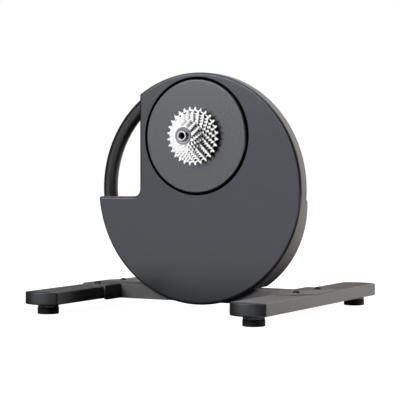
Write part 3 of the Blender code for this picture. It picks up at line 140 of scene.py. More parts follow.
def hexagon(reach: float, steps: int) -> Outline:
    """Hexagon with extra points along its sides, to match a circle's count.

    Args:
        reach: Distance from the middle to a corner.
        steps: Number of points, a multiple of 6.

    Returns:
        The points in order.
    """
    outline = []
    for i in range(steps):
        angle = 360 * i / steps
        share = math.cos(math.radians(30)) / math.cos(math.radians(angle % 60 - 30))
        outline.append(polar(reach * share, math.radians(angle)))
    return outline


def mirrored(half: Outline) -> Outline:
    """Outline of a shape that is alike on both sides, from its right half."""
    return half + [(-a, b) for a, b in reversed(half)]


# ---- Mesh helpers ----


class Plane(Enum):
    """Plane that an outline is drawn in, as the order of its two axes and its level."""

    XZ = (0, 2, 1)
    XY = (0, 1, 2)
    YZ = (2, 0, 1)

    def point(self, pair: Point2, level: float) -> Vector:
        """Place a pair of coordinates of this plane in space, at a level."""
        parts = (*pair, level)
        return Vector([parts[i] for i in self.value])


def wire(bm: BMesh, points: Sequence[Vector]) -> Edges:
    """Draw a closed loop of edges.

    Args:
        bm: Mesh to draw in.
        points: Corners in order.

    Returns:
        The edges in order.
    """
    verts = [bm.verts.new(point) for point in points]
    return [bm.edges.new(pair) for pair in zip(verts, verts[1:] + verts[:1])]


def fill(bm: BMesh, edges: Edges) -> None:
    """Fill the flat area inside one loop, or between two of any numbers of points."""
    bmesh.ops.triangle_fill(bm, edges=edges, use_beauty=True, use_dissolve=False)


def loft(bm: BMesh, sections: Sequence[Section], plane: Plane,
         caps: tuple[bool, bool] = (False, False), closed: bool = False) -> list[Edges]:
    """Skin a surface through outlines that have equal numbers of points.

    The loops are joined point by point; bridge_loops can twist a band that lies in one plane.

    Args:
        bm: Mesh to draw in.
        sections: Pairs of (outline, level).
        plane: Plane of the outlines.
        caps: Whether the first and the last outline are filled.
        closed: Whether the last outline is joined to the first.

    Returns:
        The edge loops, in order.
    """
    loops = [wire(bm, [plane.point(pair, level) for pair in outline])
             for outline, level in sections]
    for first, second in zip(loops, loops[1:] + (loops[:1] if closed else [])):
        for one, two in zip(first, second):
            bm.faces.new((*one.verts, *reversed(two.verts)))
    for wanted, loop in zip(caps, (loops[0], loops[-1])):
        if wanted:
            fill(bm, loop)
    return loops


def lofted(sections: Sequence[Section], plane: Plane, caps: tuple[bool, bool] = (True, True),
           closed: bool = False, at: Point3 = (0.0, 0.0, 0.0)) -> BMesh:
    """Make a mesh of one loft.

    Args:
        sections, plane, caps, closed: As for loft.
        at: Where the origin of the outlines goes.

    Returns:
        The new mesh.
    """
    bm = bmesh.new()
    loft(bm, sections, plane, caps, closed)
    bmesh.ops.translate(bm, verts=bm.verts, vec=at)
    return bm


def turned(profile: Sequence[Point2], steps: int, centre: Vector, axis: Vector) -> BMesh:
    """Turn a closed profile about an axis.

    Args:
        profile: Pairs of (radius, distance along the axis from the centre).
        steps: Number of facets round the axis.
        centre: Point on the axis.
        axis: Unit vector along Y or Z.

    Returns:
        The new mesh.
    """
    bm = bmesh.new()
    wire(bm, [centre + ALONG_X * radius + axis * along for radius, along in profile])
    bmesh.ops.spin(bm, geom=bm.verts[:] + bm.edges[:], cent=centre, axis=axis,
                   angle=math.tau, steps=steps, use_merge=True)
    bmesh.ops.remove_doubles(bm, verts=bm.verts, dist=1e-6)
    bmesh.ops.delete(bm, geom=[edge for edge in bm.edges if edge.is_wire], context="EDGES")
    return bm


def sharp_edges(bm: BMesh) -> Edges:
    """Edges whose two faces meet at more than SHARP_ABOVE."""
    limit = math.radians(SHARP_ABOVE)
    return [edge for edge in bm.edges
            if len(edge.link_faces) == 2 and edge.calc_face_angle(0.0) > limit]


def ease(bm: BMesh, edges: Edges, size: float, segments: int = 2) -> None:
    """Round a set of edges.

    Args:
        bm: Mesh to change.
        edges: Edges to round.
        size: Width of the rounding.
        segments: Number of chords across it.
    """
    bmesh.ops.bevel(bm, geom=edges, offset=size, offset_type="OFFSET", segments=segments,
                    profile=0.5, affect="EDGES", clamp_overlap=True, material=-1)


def drop_faces(bm: BMesh, cuts: Sequence[tuple[Vector, Vector]]) -> None:
    """Cut away the part of a surface that lies beyond every one of some planes.

    Args:
        bm: Mesh to change.
        cuts: Pairs of (point, outward normal); what is beyond all of them goes.
    """
    for point, normal in cuts:
        geom = bm.verts[:] + bm.edges[:] + bm.faces[:]
        bmesh.ops.bisect_plane(bm, geom=geom, plane_co=point, plane_no=normal, dist=1e-7)
    gone = [face for face in bm.faces
            if all((face.calc_center_median() - point).dot(normal) > 0
                   for point, normal in cuts)]
    bmesh.ops.delete(bm, geom=gone, context="FACES")


def show(name: str, bm: BMesh, material: Material) -> bpy.types.Object:
    """Put a mesh into the scene as an object.

    Args:
        name: Name of the object and of its mesh.
        bm: The mesh, which is freed.
        material: Its material.

    Returns:
        The object.
    """
    mesh = bpy.data.meshes.new(name)
    bm.to_mesh(mesh)
    bm.free()
    mesh.materials.append(material)
    item = bpy.data.objects.new(name, mesh)
    bpy.context.scene.collection.objects.link(item)
    return item


def piece(name: str, bm: BMesh, finish: "Finish", body: str = "chassis",
          replaces: Sequence[str] = (), wall: float = 0.0) -> None:
    """Turn a mesh into a finished piece that rides on a CAD body.

    Args:
        name: Name of the piece.
        bm: Its mesh, which is freed.
        finish: Its finish, whose material it gets.
        body: CAD body that it moves with.
        replaces: CAD nodes that it stands for.
        wall: Thickness given to an open surface, inwards; 0 leaves it alone.
    """
    bmesh.ops.recalc_face_normals(bm, faces=bm.faces)
    bm.edges.index_update()
    rims = [edge.index for edge in bm.edges if edge.is_boundary]
    item = show(name, bm, finish.make())
    for polygon in item.data.polygons:
        polygon.use_smooth = True
    item.data.set_sharp_from_angle(angle=math.radians(SMOOTH_BELOW))
    for index in rims:      # the wall turns a square corner here
        item.data.edges[index].use_edge_sharp = True
    if wall > 0:
        step = item.modifiers.new("wall", "SOLIDIFY")
        step.thickness = wall
        step.offset = -1.0
    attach(item, body)
    if replaces:
        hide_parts(*replaces)
    log.info("built %s", name)


# ---- Places that several sub-assemblies share ----


@dataclass(frozen=True)
class Layout:
    """Common places and planes, in metres."""

    axle_z: float = 353.5 * MM
    body_z: float = 247.0 * MM
    body_radius: float = 235.5 * MM
    face_y: float = -40.5 * MM
    parting_y: float = -20.1 * MM
    back_y: float = -2.5 * MM
    cut_x: float = -134.5 * MM
    ledge_z: float = 229.5 * MM
    cut_radius: float = 16.0 * MM
    corner_radius: float = 5.0 * MM
    pan_depth: float = 9.0 * MM
    hub_hole: float = 25.0 * MM     # radius of the opening round the freehub body
    leg_x: float = 230.0 * MM
    leg_bottom: float = 20.0 * MM
    leg_top: float = 44.5 * MM
    spine_top: float = 46.8 * MM
    spine_bottom: float = 17.0 * MM
    foot_y: float = 231.0 * MM

    @property
    def axle(self) -> Vector:
        """Point where the hub axis meets the plane y = 0."""
        return Vector((0.0, 0.0, self.axle_z))


LAYOUT = Layout()
LEGS = ((-1, "rear"), (1, "front"))     # sign of X, word in the nodes' names
ENDS = ((-1, "drive"), (1, "far"))      # sign of Y, word in the nodes' names


# ---- Finishes ----


class Pattern(Enum):
    """How a finish is broken up at the scale of its grain."""

    GRAIN = "grain"      # powder coat, moulded plastic, rubber
    TURNED = "turned"    # rings left by a lathe, about the hub axis
    BRUSHED = "brushed"  # fine lines along X


def linear(colour: str) -> tuple[float, float, float, float]:
    """Turn an sRGB hex colour into linear light.

    Args:
        colour: Six hex digits.

    Returns:
        Red, green, blue and alpha 1.
    """
    channels = [int(colour[i:i + 2], 16) / 255 for i in (0, 2, 4)]
    red, green, blue = (c / 12.92 if c <= 0.04045 else ((c + 0.055) / 1.055) ** 2.4
                        for c in channels)
    return red, green, blue, 1.0


def grey(level: float) -> tuple[float, float, float, float]:
    """Neutral colour of a linear level."""
    return level, level, level, 1.0


def connect(node: bpy.types.Node, inputs: dict) -> None:
    """Fill a node's sockets.

    Args:
        node: Node to change.
        inputs: Socket names or numbers, each with a value or another node's output.
    """
    for key, value in inputs.items():
        if isinstance(value, bpy.types.NodeSocket):
            node.id_data.links.new(value, node.inputs[key])
        else:
            node.inputs[key].default_value = value


def add_node(tree: bpy.types.NodeTree, kind: str, inputs: dict,
             output: str | int = 0, **settings: str) -> bpy.types.NodeSocket:
    """Add a node, set its options and fill its sockets.

    Args:
        tree: Node tree to extend.
        kind: Blender's name of the node type, without its prefix.
        inputs: Socket names or numbers, each with a value or another node's output.
        output: Name or number of the socket to return.
        settings: Options of the node itself.

    Returns:
        An output of the new node.
    """
    made = tree.nodes.new("ShaderNode" + kind)
    for key, value in settings.items():
        setattr(made, key, value)
    connect(made, inputs)
    return made.outputs[output]


def principled(name: str, inputs: dict) -> tuple[Material, bpy.types.Node]:
    """Start a node material.

    Args:
        name: Name of the material.
        inputs: Values for the sockets of its shader.

    Returns:
        The material and its shader.
    """
    mat = bpy.data.materials.new(name)
    mat.use_nodes = True
    shader = mat.node_tree.nodes["Principled BSDF"]
    connect(shader, inputs)
    return mat, shader


@dataclass(frozen=True)
class Finish:
    """Look of one real material, with its grain in real sizes."""

    name: str
    slot: str               # the record's material slot
    colour: str             # sRGB hex
    roughness: float
    metallic: float
    grain: float            # width of one speck or line, in millimetres
    relief: float           # height of the grain, in millimetres
    spread: float           # change of roughness across the grain
    tint: float             # change of brightness across the grain
    sheen: float = 0.5      # Specular IOR Level: how much a coat mirrors
    pattern: Pattern = Pattern.GRAIN

    @lru_cache(maxsize=None)
    def make(self) -> Material:
        """Build the material, a procedural Principled one, or give it once more.

        Returns:
            The material.
        """
        mat, shader = principled(self.name, {
            "Base Color": linear(self.colour), "Roughness": self.roughness,
            "Metallic": self.metallic, "Specular IOR Level": self.sheen})
        tree = mat.node_tree
        grain = self._field(tree)
        red, green, blue, _ = linear(self.colour)
        dark, light = ((red * share, green * share, blue * share, 1.0)
                       for share in (1 - self.tint, 1 + self.tint))
        connect(shader, {
            "Roughness": add_node(tree, "MapRange", {
                "Value": grain, "To Min": self.roughness - self.spread,
                "To Max": self.roughness + self.spread}),
            "Base Color": add_node(tree, "Mix", {"Factor": grain, "A": dark, "B": light},
                                   "Result", data_type="RGBA"),
            "Normal": add_node(tree, "Bump", {
                "Height": grain, "Distance": self.relief * MM, "Strength": 1.0})})
        return mat

    def _field(self, tree: bpy.types.NodeTree) -> bpy.types.NodeSocket:
        """Add the nodes of the grain.

        Args:
            tree: Node tree to extend.

        Returns:
            A value from 0 to 1 that varies with the grain.
        """
        place = add_node(tree, "TexCoord", {}, "Object")
        noise = {"Scale": 1.0 / (self.grain * MM), "Detail": 3.0}
        if self.pattern is Pattern.TURNED:
            centred = add_node(tree, "VectorMath", {0: place, 1: LAYOUT.axle},
                               operation="SUBTRACT")
            flat = add_node(tree, "VectorMath", {0: centred, 1: (1.0, 0.0, 1.0)},
                            operation="MULTIPLY")
            reach = add_node(tree, "VectorMath", {0: flat}, "Value", operation="LENGTH")
            along = add_node(tree, "SeparateXYZ", {0: place}, "Y")
            noise["W"] = add_node(tree, "Math", {0: reach, 1: along}, operation="ADD")
            return add_node(tree, "TexNoise", noise, noise_dimensions="1D")
        if self.pattern is Pattern.BRUSHED:
            noise["Vector"] = add_node(tree, "VectorMath", {0: place, 1: (0.03, 1.0, 1.0)},
                                       operation="MULTIPLY")
        else:
            noise.update({"Vector": place, "Detail": 4.0, "Roughness": 0.6})
        return add_node(tree, "TexNoise", noise)


# Satin powder coat with a little metal pigment: soft broad highlights, a faint orange peel.
BODY_COAT = Finish("satin_dark_grey_powder_coat", "body_paint", "494b50", 0.27, 0.75, 0.7,
                   0.012, 0.03, 0.02, 0.3)
# Coarser coat of the cast frame and its housing: diffuse, so the rim shades evenly. Laid also
# on the cover's rim and the outer steps of its rounding, it is painted light there: a lighter
# coat where the edge turns towards the light from the right.
FRAME_COAT_AND_RIM_LIGHT = Finish("frame_powder_coat_and_painted_rim_light", "body_paint", "6e6e6f", 0.50, 0.0, 0.5,
                    0.02, 0.04, 0.04, 0.08)
# The round cover is a shade lighter and as satin as the body round it.
HUB_COAT = Finish("satin_grey_hub_cover_coat", "hub_cover_paint", "5b5c60", 0.27, 0.75, 0.7,
                  0.012, 0.03, 0.02, 0.3)
# Painted shade: gloss-free black in the groove, standing in for the deep shadow that falls
# there.
GROOVE_PAINTED_SHADE = Finish("matt_black_groove_painted_shade", "black_plastic", "0a0a0b", 0.8, 0.0, 0.5, 0.01,
                      0.04, 0.05, 0.04)
# Black satin coat on the steel handle: one clear highlight along the tube.
HANDLE_COAT = Finish("black_satin_tube_coat", "handle_paint", "1d1e20", 0.32, 0.0, 0.5, 0.008,
                     0.03, 0.04, 0.45)
# Fine textured powder coat on the steel base: dull with a slight sparkle.
BASE_COAT = Finish("fine_textured_base_powder_coat", "base_paint", "626263", 0.45, 0.0, 0.45,
                   0.02, 0.04, 0.05, 0.15)
# Moulded end caps, spark-eroded grain: even and a little silky, as dark as the tube.
CAP_PLASTIC = Finish("grained_leg_cap_plastic", "leg_cap_plastic", "4a4b4f", 0.34, 0.75, 0.3,
                     0.015, 0.04, 0.04, 0.3)
# Black glass-filled plastic of the foot wheels and the power socket: silky edges.
BLACK_PLASTIC = Finish("black_moulded_plastic", "black_plastic", "5e5e62", 0.36, 0.6, 0.3,
                       0.015, 0.04, 0.05, 0.4)
# Rubber of pads and belt: matt, with a dusty fine grain.
RUBBER = Finish("black_rubber", "rubber", "242425", 0.70, 0.0, 0.4, 0.03, 0.05, 0.10, 0.3)
# Ground and turned steel of shaft, bearings and flywheel: fine rings in the highlight.
TURNED_STEEL = Finish("turned_steel", "steel", "b9babd", 0.30, 1.0, 0.35, 0.006, 0.06, 0.04,
                      pattern=Pattern.TURNED)
# Blackened bolts: almost as dark as the base, with a small sharp highlight.
BOLT_STEEL = Finish("black_oxide_bolt_steel", "steel", "3a3a3c", 0.22, 1.0, 0.3, 0.004, 0.05,
                    0.04)
# Bright turned aluminium of the axle's end caps: the lightest rings of the picture.
BRIGHT_ALLOY = Finish("bright_turned_alloy", "bright_alloy", "dfe0e2", 0.20, 1.0, 0.25, 0.004,
                      0.05, 0.03, pattern=Pattern.TURNED)
# Nickel-plated sprockets: bright, with the faint rings of a ground blank.
COG_STEEL = Finish("nickel_plated_cog_steel", "cog_steel", "f6f6f6", 0.19, 1.0, 0.4, 0.006,
                   0.06, 0.04, pattern=Pattern.TURNED)
# Dull bronze sleeve in the end caps: keeps the bore from reading as a black dot.
BORE_LINING = Finish("dull_bronze_sleeve", "steel", "7d766c", 0.55, 0.0, 0.3, 0.01, 0.04, 0.04,
                     0.3)
# Black carriers inside the sprockets, like a cassette's black spacers; their black is also
# painted shade, standing in for the dark gaps between the sprockets.
CARRIER_BLACK_AND_GAP_SHADE = Finish("black_carrier_coat_and_gap_shade", "black_plastic", "0e0e0f", 0.60, 0.0, 0.3, 0.01,
                       0.04, 0.05, 0.1)
# Anodised lockring: satin mid grey, duller than the sprockets beside it.
LOCKRING_ALLOY = Finish("satin_anodised_lockring", "lockring_alloy", "7c7c82", 0.34, 1.0, 0.25,
                        0.004, 0.05, 0.03, pattern=Pattern.TURNED)
# Machined pulleys inside the body: fine turning marks.
MACHINED_ALLOY = Finish("machined_alloy", "alloy", "b4b6b9", 0.36, 1.0, 0.4, 0.006, 0.06, 0.04,
                        pattern=Pattern.TURNED)
# Varnished copper windings of the brake: warm, in rings as coarse as the wire.
BRAKE_COPPER = Finish("varnished_brake_copper", "brake_copper", "9a5a35", 0.38, 0.8, 0.8, 0.05,
                      0.05, 0.10, pattern=Pattern.TURNED)
# Solder mask on the circuit board: green, faintly lined by the tracks below it.
BOARD_GREEN = Finish("solder_mask_green", "board", "1f4a33", 0.42, 0.0, 0.8, 0.01, 0.05, 0.08,
                     pattern=Pattern.BRUSHED)


# ---- Sub-assemblies ----


class Assembly:
    """A group of pieces that is built, and then dressed where it keeps CAD nodes."""

    def build(self) -> None:
        """Make the group's own pieces."""

    def dress(self) -> None:
        """Give finishes to the CAD nodes that the group keeps."""


@dataclass
class BodyShells(Assembly):
    """Drive-side cover, its hub pan in black as painted shade for the groove, and the main
    frame behind it.
    """

    face_rounding: float = 6.0 * MM
    rounding_steps: int = 12
    # The rest of the rounding takes the lighter frame coat: painted light on the turn of the
    # edge.
    painted_light_from_step: int = 8              # steps of the rounding that belong to the face
    back_depth: float = 15.5 * MM
    back_inset: float = 20.0 * MM
    back_steps: int = 16
    wall: float = 2.6 * MM
    seam: float = 0.5 * MM          # rounding of both edges at the parting line
    seam_steps: int = 3
    pan_radius: float = 119.8 * MM
    pan_wall: float = 2.3 * MM
    pan_floor: float = 1.6 * MM
    pan_edge: float = 0.8 * MM      # rounding where the face turns into the groove
    pan_edge_steps: int = 4
    pan_lip: Point2 = (0.4 * MM, 2.2 * MM)     # width and height of its slanted lip
    notch_y: float = -28.3 * MM
    arc_steps: int = 300
    corner_steps: int = 12
    circle_steps: int = 240

    def outline(self, inset: float) -> Outline:
        """Edge of the round body with its cut-out, moved inwards.

        Args:
            inset: How far the edge is moved inwards.

        Returns:
            Points in the XZ plane, as many for any inset.
        """
        lay = LAYOUT
        radius = lay.body_radius - inset
        bend = max(lay.corner_radius - inset, LEAST_BEND)
        edge_x, edge_z = lay.cut_x + inset, lay.ledge_z - inset
        hollow = lay.cut_radius + inset
        reach = radius - bend
        high_x = edge_x + bend
        high_z = math.sqrt(reach ** 2 - high_x ** 2)
        low_z = edge_z - bend - lay.body_z
        low_x = -math.sqrt(reach ** 2 - low_z ** 2)
        high = math.degrees(math.atan2(high_z, high_x))
        low = math.degrees(math.atan2(low_z, low_x)) % 360
        points = arc((0, lay.body_z), radius, high, low - 360, self.arc_steps)
        points += arc((low_x, lay.body_z + low_z), bend, low, 90, self.corner_steps)[1:]
        points += arc((edge_x - hollow, edge_z + hollow), hollow, -90, 0, self.corner_steps)
        points += arc((high_x, lay.body_z + high_z), bend, 180, high, self.corner_steps)[:-1]
        return points

    def opening(self, inset: float) -> Outline:
        """Round opening of the face, widened by an inset."""
        return circle(self.pan_radius + inset, self.circle_steps, (0, LAYOUT.axle_z))

    def build(self) -> None:
        """Make the cover, the pan and the main frame."""
        self._cover()
        self._pan()
        self._frame()

    def _cover(self) -> None:
        """Filleted face with a round opening, and the rim round it, cut off at the spine."""
        lay, depth = LAYOUT, self.face_rounding
        edge = rings(self.outline, rounding(lay.face_y, depth, self.rounding_steps))
        bm = bmesh.new()
        face = [(self.outline(depth + FACE_LEAD), lay.face_y)]
        rim = loft(bm, face + edge[:self.painted_light_from_step + 1], Plane.XZ)
        mouth = loft(bm, rings(self.opening, [
            (self.pan_edge + FACE_LEAD, lay.face_y),
            *rounding(lay.face_y, self.pan_edge, self.pan_edge_steps)]), Plane.XZ)
        fill(bm, rim[0] + mouth[0])
        piece("cover_shell", bm, BODY_COAT, replaces=["drive_side_cover"], wall=self.wall)
        seam = rings(self.outline, rounding(lay.parting_y, -self.seam, self.seam_steps))
        bm = lofted(edge[self.painted_light_from_step:] + seam, Plane.XZ, (False, False))
        drop_faces(bm, [(Vector((0, self.notch_y, 0)), ALONG_Y),
                        (Vector((0, 0, lay.spine_top + GAP)), -ALONG_Z)])
        # The rim and the outer steps of the rounding take the lighter frame coat: painted light
        # where the edge turns towards the light from the right.
        piece("cover_rim", bm, FRAME_COAT_AND_RIM_LIGHT, wall=self.wall)

    def _pan(self) -> None:
        """Dish that the hub cover sits in, black as painted shade; its rim is the groove."""
        front = LAYOUT.face_y + self.pan_edge
        floor = LAYOUT.face_y + LAYOUT.pan_depth
        back = floor + self.pan_floor
        radius, outer = self.pan_radius, self.pan_radius + self.pan_wall
        wide, high = self.pan_lip
        profile = [(radius, front), (radius, floor), (LAYOUT.hub_hole, floor),
                   (LAYOUT.hub_hole, back), (outer, back), (outer, front + high),
                   (radius + wide, front)]
        bm = turned(profile, self.circle_steps, LAYOUT.axle, ALONG_Y)
        # Its black is painted shade: it stands in for the shadow deep in the groove.
        piece("hub_pan", bm, GROOVE_PAINTED_SHADE)

    def _frame(self) -> None:
        """Main frame: its rim, the broad rear rounding and the flat back."""
        lay = LAYOUT
        edge = rounding(lay.parting_y + GAP, self.seam, self.seam_steps)
        edge += rounding(lay.back_y, -self.back_depth, self.back_steps, self.back_inset)
        edge.append((self.back_inset + BACK_LEAD, lay.back_y))
        bm = lofted(rings(self.outline, edge), Plane.XZ, (False, True))
        drop_faces(bm, [(Vector((0, 0, lay.spine_top + GAP)), -ALONG_Z)])
        piece("frame_shell", bm, FRAME_COAT_AND_RIM_LIGHT, replaces=["main_frame"], wall=self.wall)


@dataclass
class HubCover(Assembly):
    """Round cover in the pan, with the opening that the cassette comes out of."""

    radius: float = 114.9 * MM
    proud: float = 2.5 * MM
    edge: float = 3.2 * MM
    edge_steps: int = 8
    hole_edge: float = 0.8 * MM
    hole_steps: int = 3
    thickness: float = 2.5 * MM
    steps: int = 240

    def build(self) -> None:
        """Make the cover by turning its section."""
        hole, inside = LAYOUT.hub_hole, self.radius - self.thickness
        front = LAYOUT.face_y - self.proud
        back = LAYOUT.face_y + LAYOUT.pan_depth - GAP
        inner = front + self.thickness
        profile = [(hole, inner)]
        profile += [(hole + inset, y) for inset, y in
                    reversed(rounding(front, self.hole_edge, self.hole_steps))]
        profile += [(hole + self.hole_edge + FACE_LEAD, front),
                    (self.radius - self.edge - FACE_LEAD, front)]
        profile += [(self.radius - inset, y)
                    for inset, y in rounding(front, self.edge, self.edge_steps)]
        profile += [(self.radius, back), (inside, back), (inside, inner)]
        bm = turned(profile, self.steps, LAYOUT.axle, ALONG_Y)
        piece("hub_cover_disc", bm, HUB_COAT, replaces=["hub_cover"])


@dataclass
class RearHousing(Assembly):
    """Flywheel housing, the round back plate with its boss, and the power socket."""

    centre: Point2 = (8.0 * MM, 215.0 * MM)
    radius: float = 200.0 * MM
    depth: float = 58.7 * MM
    top: float = 229.0 * MM
    bend: float = 9.0 * MM          # radius of the corners
    bend_steps: int = 10
    side_steps: int = 90
    fillet: float = 12.0 * MM       # rounding of the edge at the back
    fillet_steps: int = 12
    wall: float = 3.0 * MM
    plate_radius: float = 100.0 * MM
    plate: float = 3.5 * MM
    plate_edge: float = 1.2 * MM
    bore: float = 8.8 * MM
    boss_end: float = 36.7 * MM
    boss_foot: Point2 = (50.0 * MM, 8.0 * MM)  # radius and width of its hollow rounding
    foot_rise: float = 4.0 * MM
    boss_tip: Point2 = (25.0 * MM, 3.0 * MM)   # radius and width of its top's rounding
    tip_rise: float = 2.0 * MM
    boss_steps: int = 5
    foot_turn: float = 15.0         # degrees between two steps of the hollow rounding
    plate_steps: int = 144
    socket_x: float = -112.0 * MM
    socket_z: float = 115.5 * MM
    socket_bore: float = 3.6 * MM
    socket_body: Point2 = (6.0 * MM, 16.0 * MM)     # radius and depth behind the flange
    socket_flange: Point2 = (8.5 * MM, 1.6 * MM)    # radius and thickness
    socket_hollow: float = 11.0 * MM
    pin: Point2 = (1.0 * MM, 0.7 * MM)              # radii of the shank and the tip
    pin_end: Point2 = (2.0 * MM, 1.5 * MM)          # where its tip starts and ends
    socket_steps: int = 48
    pin_steps: int = 24

    def outline(self, inset: float) -> Outline:
        """Circle cut flat at the top and at the spine, with rounded corners.

        Args:
            inset: How far the edge is moved inwards.

        Returns:
            Points in the XZ plane.
        """
        middle_x, middle_z = self.centre
        radius = self.radius - inset
        bend = max(self.bend - inset, LEAST_BEND)
        reach = radius - bend
        top = self.top - inset - bend - middle_z
        bottom = LAYOUT.spine_top + GAP + inset + bend - middle_z
        top_x = math.sqrt(reach ** 2 - top ** 2)
        bottom_x = math.sqrt(reach ** 2 - bottom ** 2)
        high = math.degrees(math.atan2(top, top_x))
        low = math.degrees(math.atan2(bottom, bottom_x))
        right = arc((bottom_x, bottom), bend, -90, low, self.bend_steps)[:-1]
        right += arc((0, 0), radius, low, high, self.side_steps)
        right += arc((top_x, top), bend, high, 90, self.bend_steps)[1:]
        return [(x + middle_x, z + middle_z) for x, z in mirrored(right)]

    def build(self) -> None:
        """Make the housing, the back plate and the socket."""
        front = LAYOUT.back_y + GAP
        back = front + self.depth
        edge = [(0.0, front), *rounding(back, -self.fillet, self.fillet_steps),
                (self.fillet + BACK_LEAD, back)]
        bm = lofted(rings(self.outline, edge), Plane.XZ, (False, True))
        piece("housing_shell", bm, FRAME_COAT_AND_RIM_LIGHT, replaces=["flywheel_housing"], wall=self.wall)
        self._plate(front)
        self._socket(back + GAP)

    def _plate(self, front: float) -> None:
        """Back plate with the tapered boss round the axle.

        Args:
            front: Level of its inner face.
        """
        back, end, steps = front + self.plate, self.boss_end, self.boss_steps
        foot, hollow = self.boss_foot
        tip, wide = self.boss_tip
        turn = [math.radians(self.foot_turn * i) for i in range(1, steps + 1)]
        profile = [(self.bore, front), (self.plate_radius, front)]
        profile += [(self.plate_radius - inset, y)
                    for inset, y in rounding(back, -self.plate_edge, steps)]
        profile += [(foot, back)]
        profile += [(foot - hollow * math.sin(a), back + self.foot_rise * (1 - math.cos(a)))
                    for a in turn]
        profile += [(tip - inset, y) for inset, y in rounding(end, -self.tip_rise, steps, wide)]
        profile += [(self.bore, end)]
        bm = turned(profile, self.plate_steps, LAYOUT.axle, ALONG_Y)
        piece("back_plate", bm, FRAME_COAT_AND_RIM_LIGHT, replaces=["rear_cover"])

    def _socket(self, flange: float) -> None:
        """Round power socket with its pin.

        Args:
            flange: Level of the underside of its flange.
        """
        body, behind = self.socket_body
        wide, thick = self.socket_flange
        bore, face = self.socket_bore, flange + thick
        ground = face - self.socket_hollow
        profile = [(0, flange - behind), (body, flange - behind), (body, flange),
                   (wide, flange), (wide, face - LEAD), (wide - LEAD, face),
                   (bore + LEAD, face), (bore, face - LEAD), (bore, ground), (0, ground)]
        centre = Vector((self.socket_x, 0, self.socket_z))
        bm = turned(profile, self.socket_steps, centre, ALONG_Y)
        piece("socket_body", bm, BLACK_PLASTIC, replaces=["power_socket"])
        (shank, tip), (start, end) = self.pin, self.pin_end
        pin = [(0, ground), (shank, ground), (shank, face - start), (tip, face - end),
               (0, face - end)]
        piece("socket_pin", turned(pin, self.pin_steps, centre, ALONG_Y), BOLT_STEEL)


@dataclass
class CarryHandle(Assembly):
    """Bent steel tube across the cut-out."""

    radius: float = 14.7 * MM
    path_radius: float = 216.8 * MM
    low_depth: float = 24.0 * MM
    high_depth: float = 22.0 * MM
    steps: int = 96
    sides: int = 56

    def build(self) -> None:
        """Sweep a circle about the body's centre, and close its hidden ends."""
        lay = LAYOUT
        low = math.asin((lay.ledge_z - self.low_depth - lay.body_z) / self.path_radius)
        high = math.acos(-(lay.cut_x + self.high_depth) / self.path_radius)
        centre = Vector((0, lay.parting_y, lay.body_z))
        out = Vector((-math.cos(low), 0, math.sin(low)))
        turn = Matrix((out, ALONG_Y, out.cross(ALONG_Y))).transposed().to_4x4()
        place = Matrix.Translation(centre + out * self.path_radius) @ turn
        bm = bmesh.new()
        bmesh.ops.create_circle(bm, segments=self.sides, radius=self.radius, matrix=place)
        bmesh.ops.spin(bm, geom=bm.verts[:] + bm.edges[:], cent=centre, axis=ALONG_Y,
                       angle=high - low, steps=self.steps)
        ends = [edge for edge in bm.edges if edge.is_boundary]
        bmesh.ops.holes_fill(bm, edges=ends, sides=self.sides)
        piece("handle_bar", bm, HANDLE_COAT, replaces=["handle_tube"])


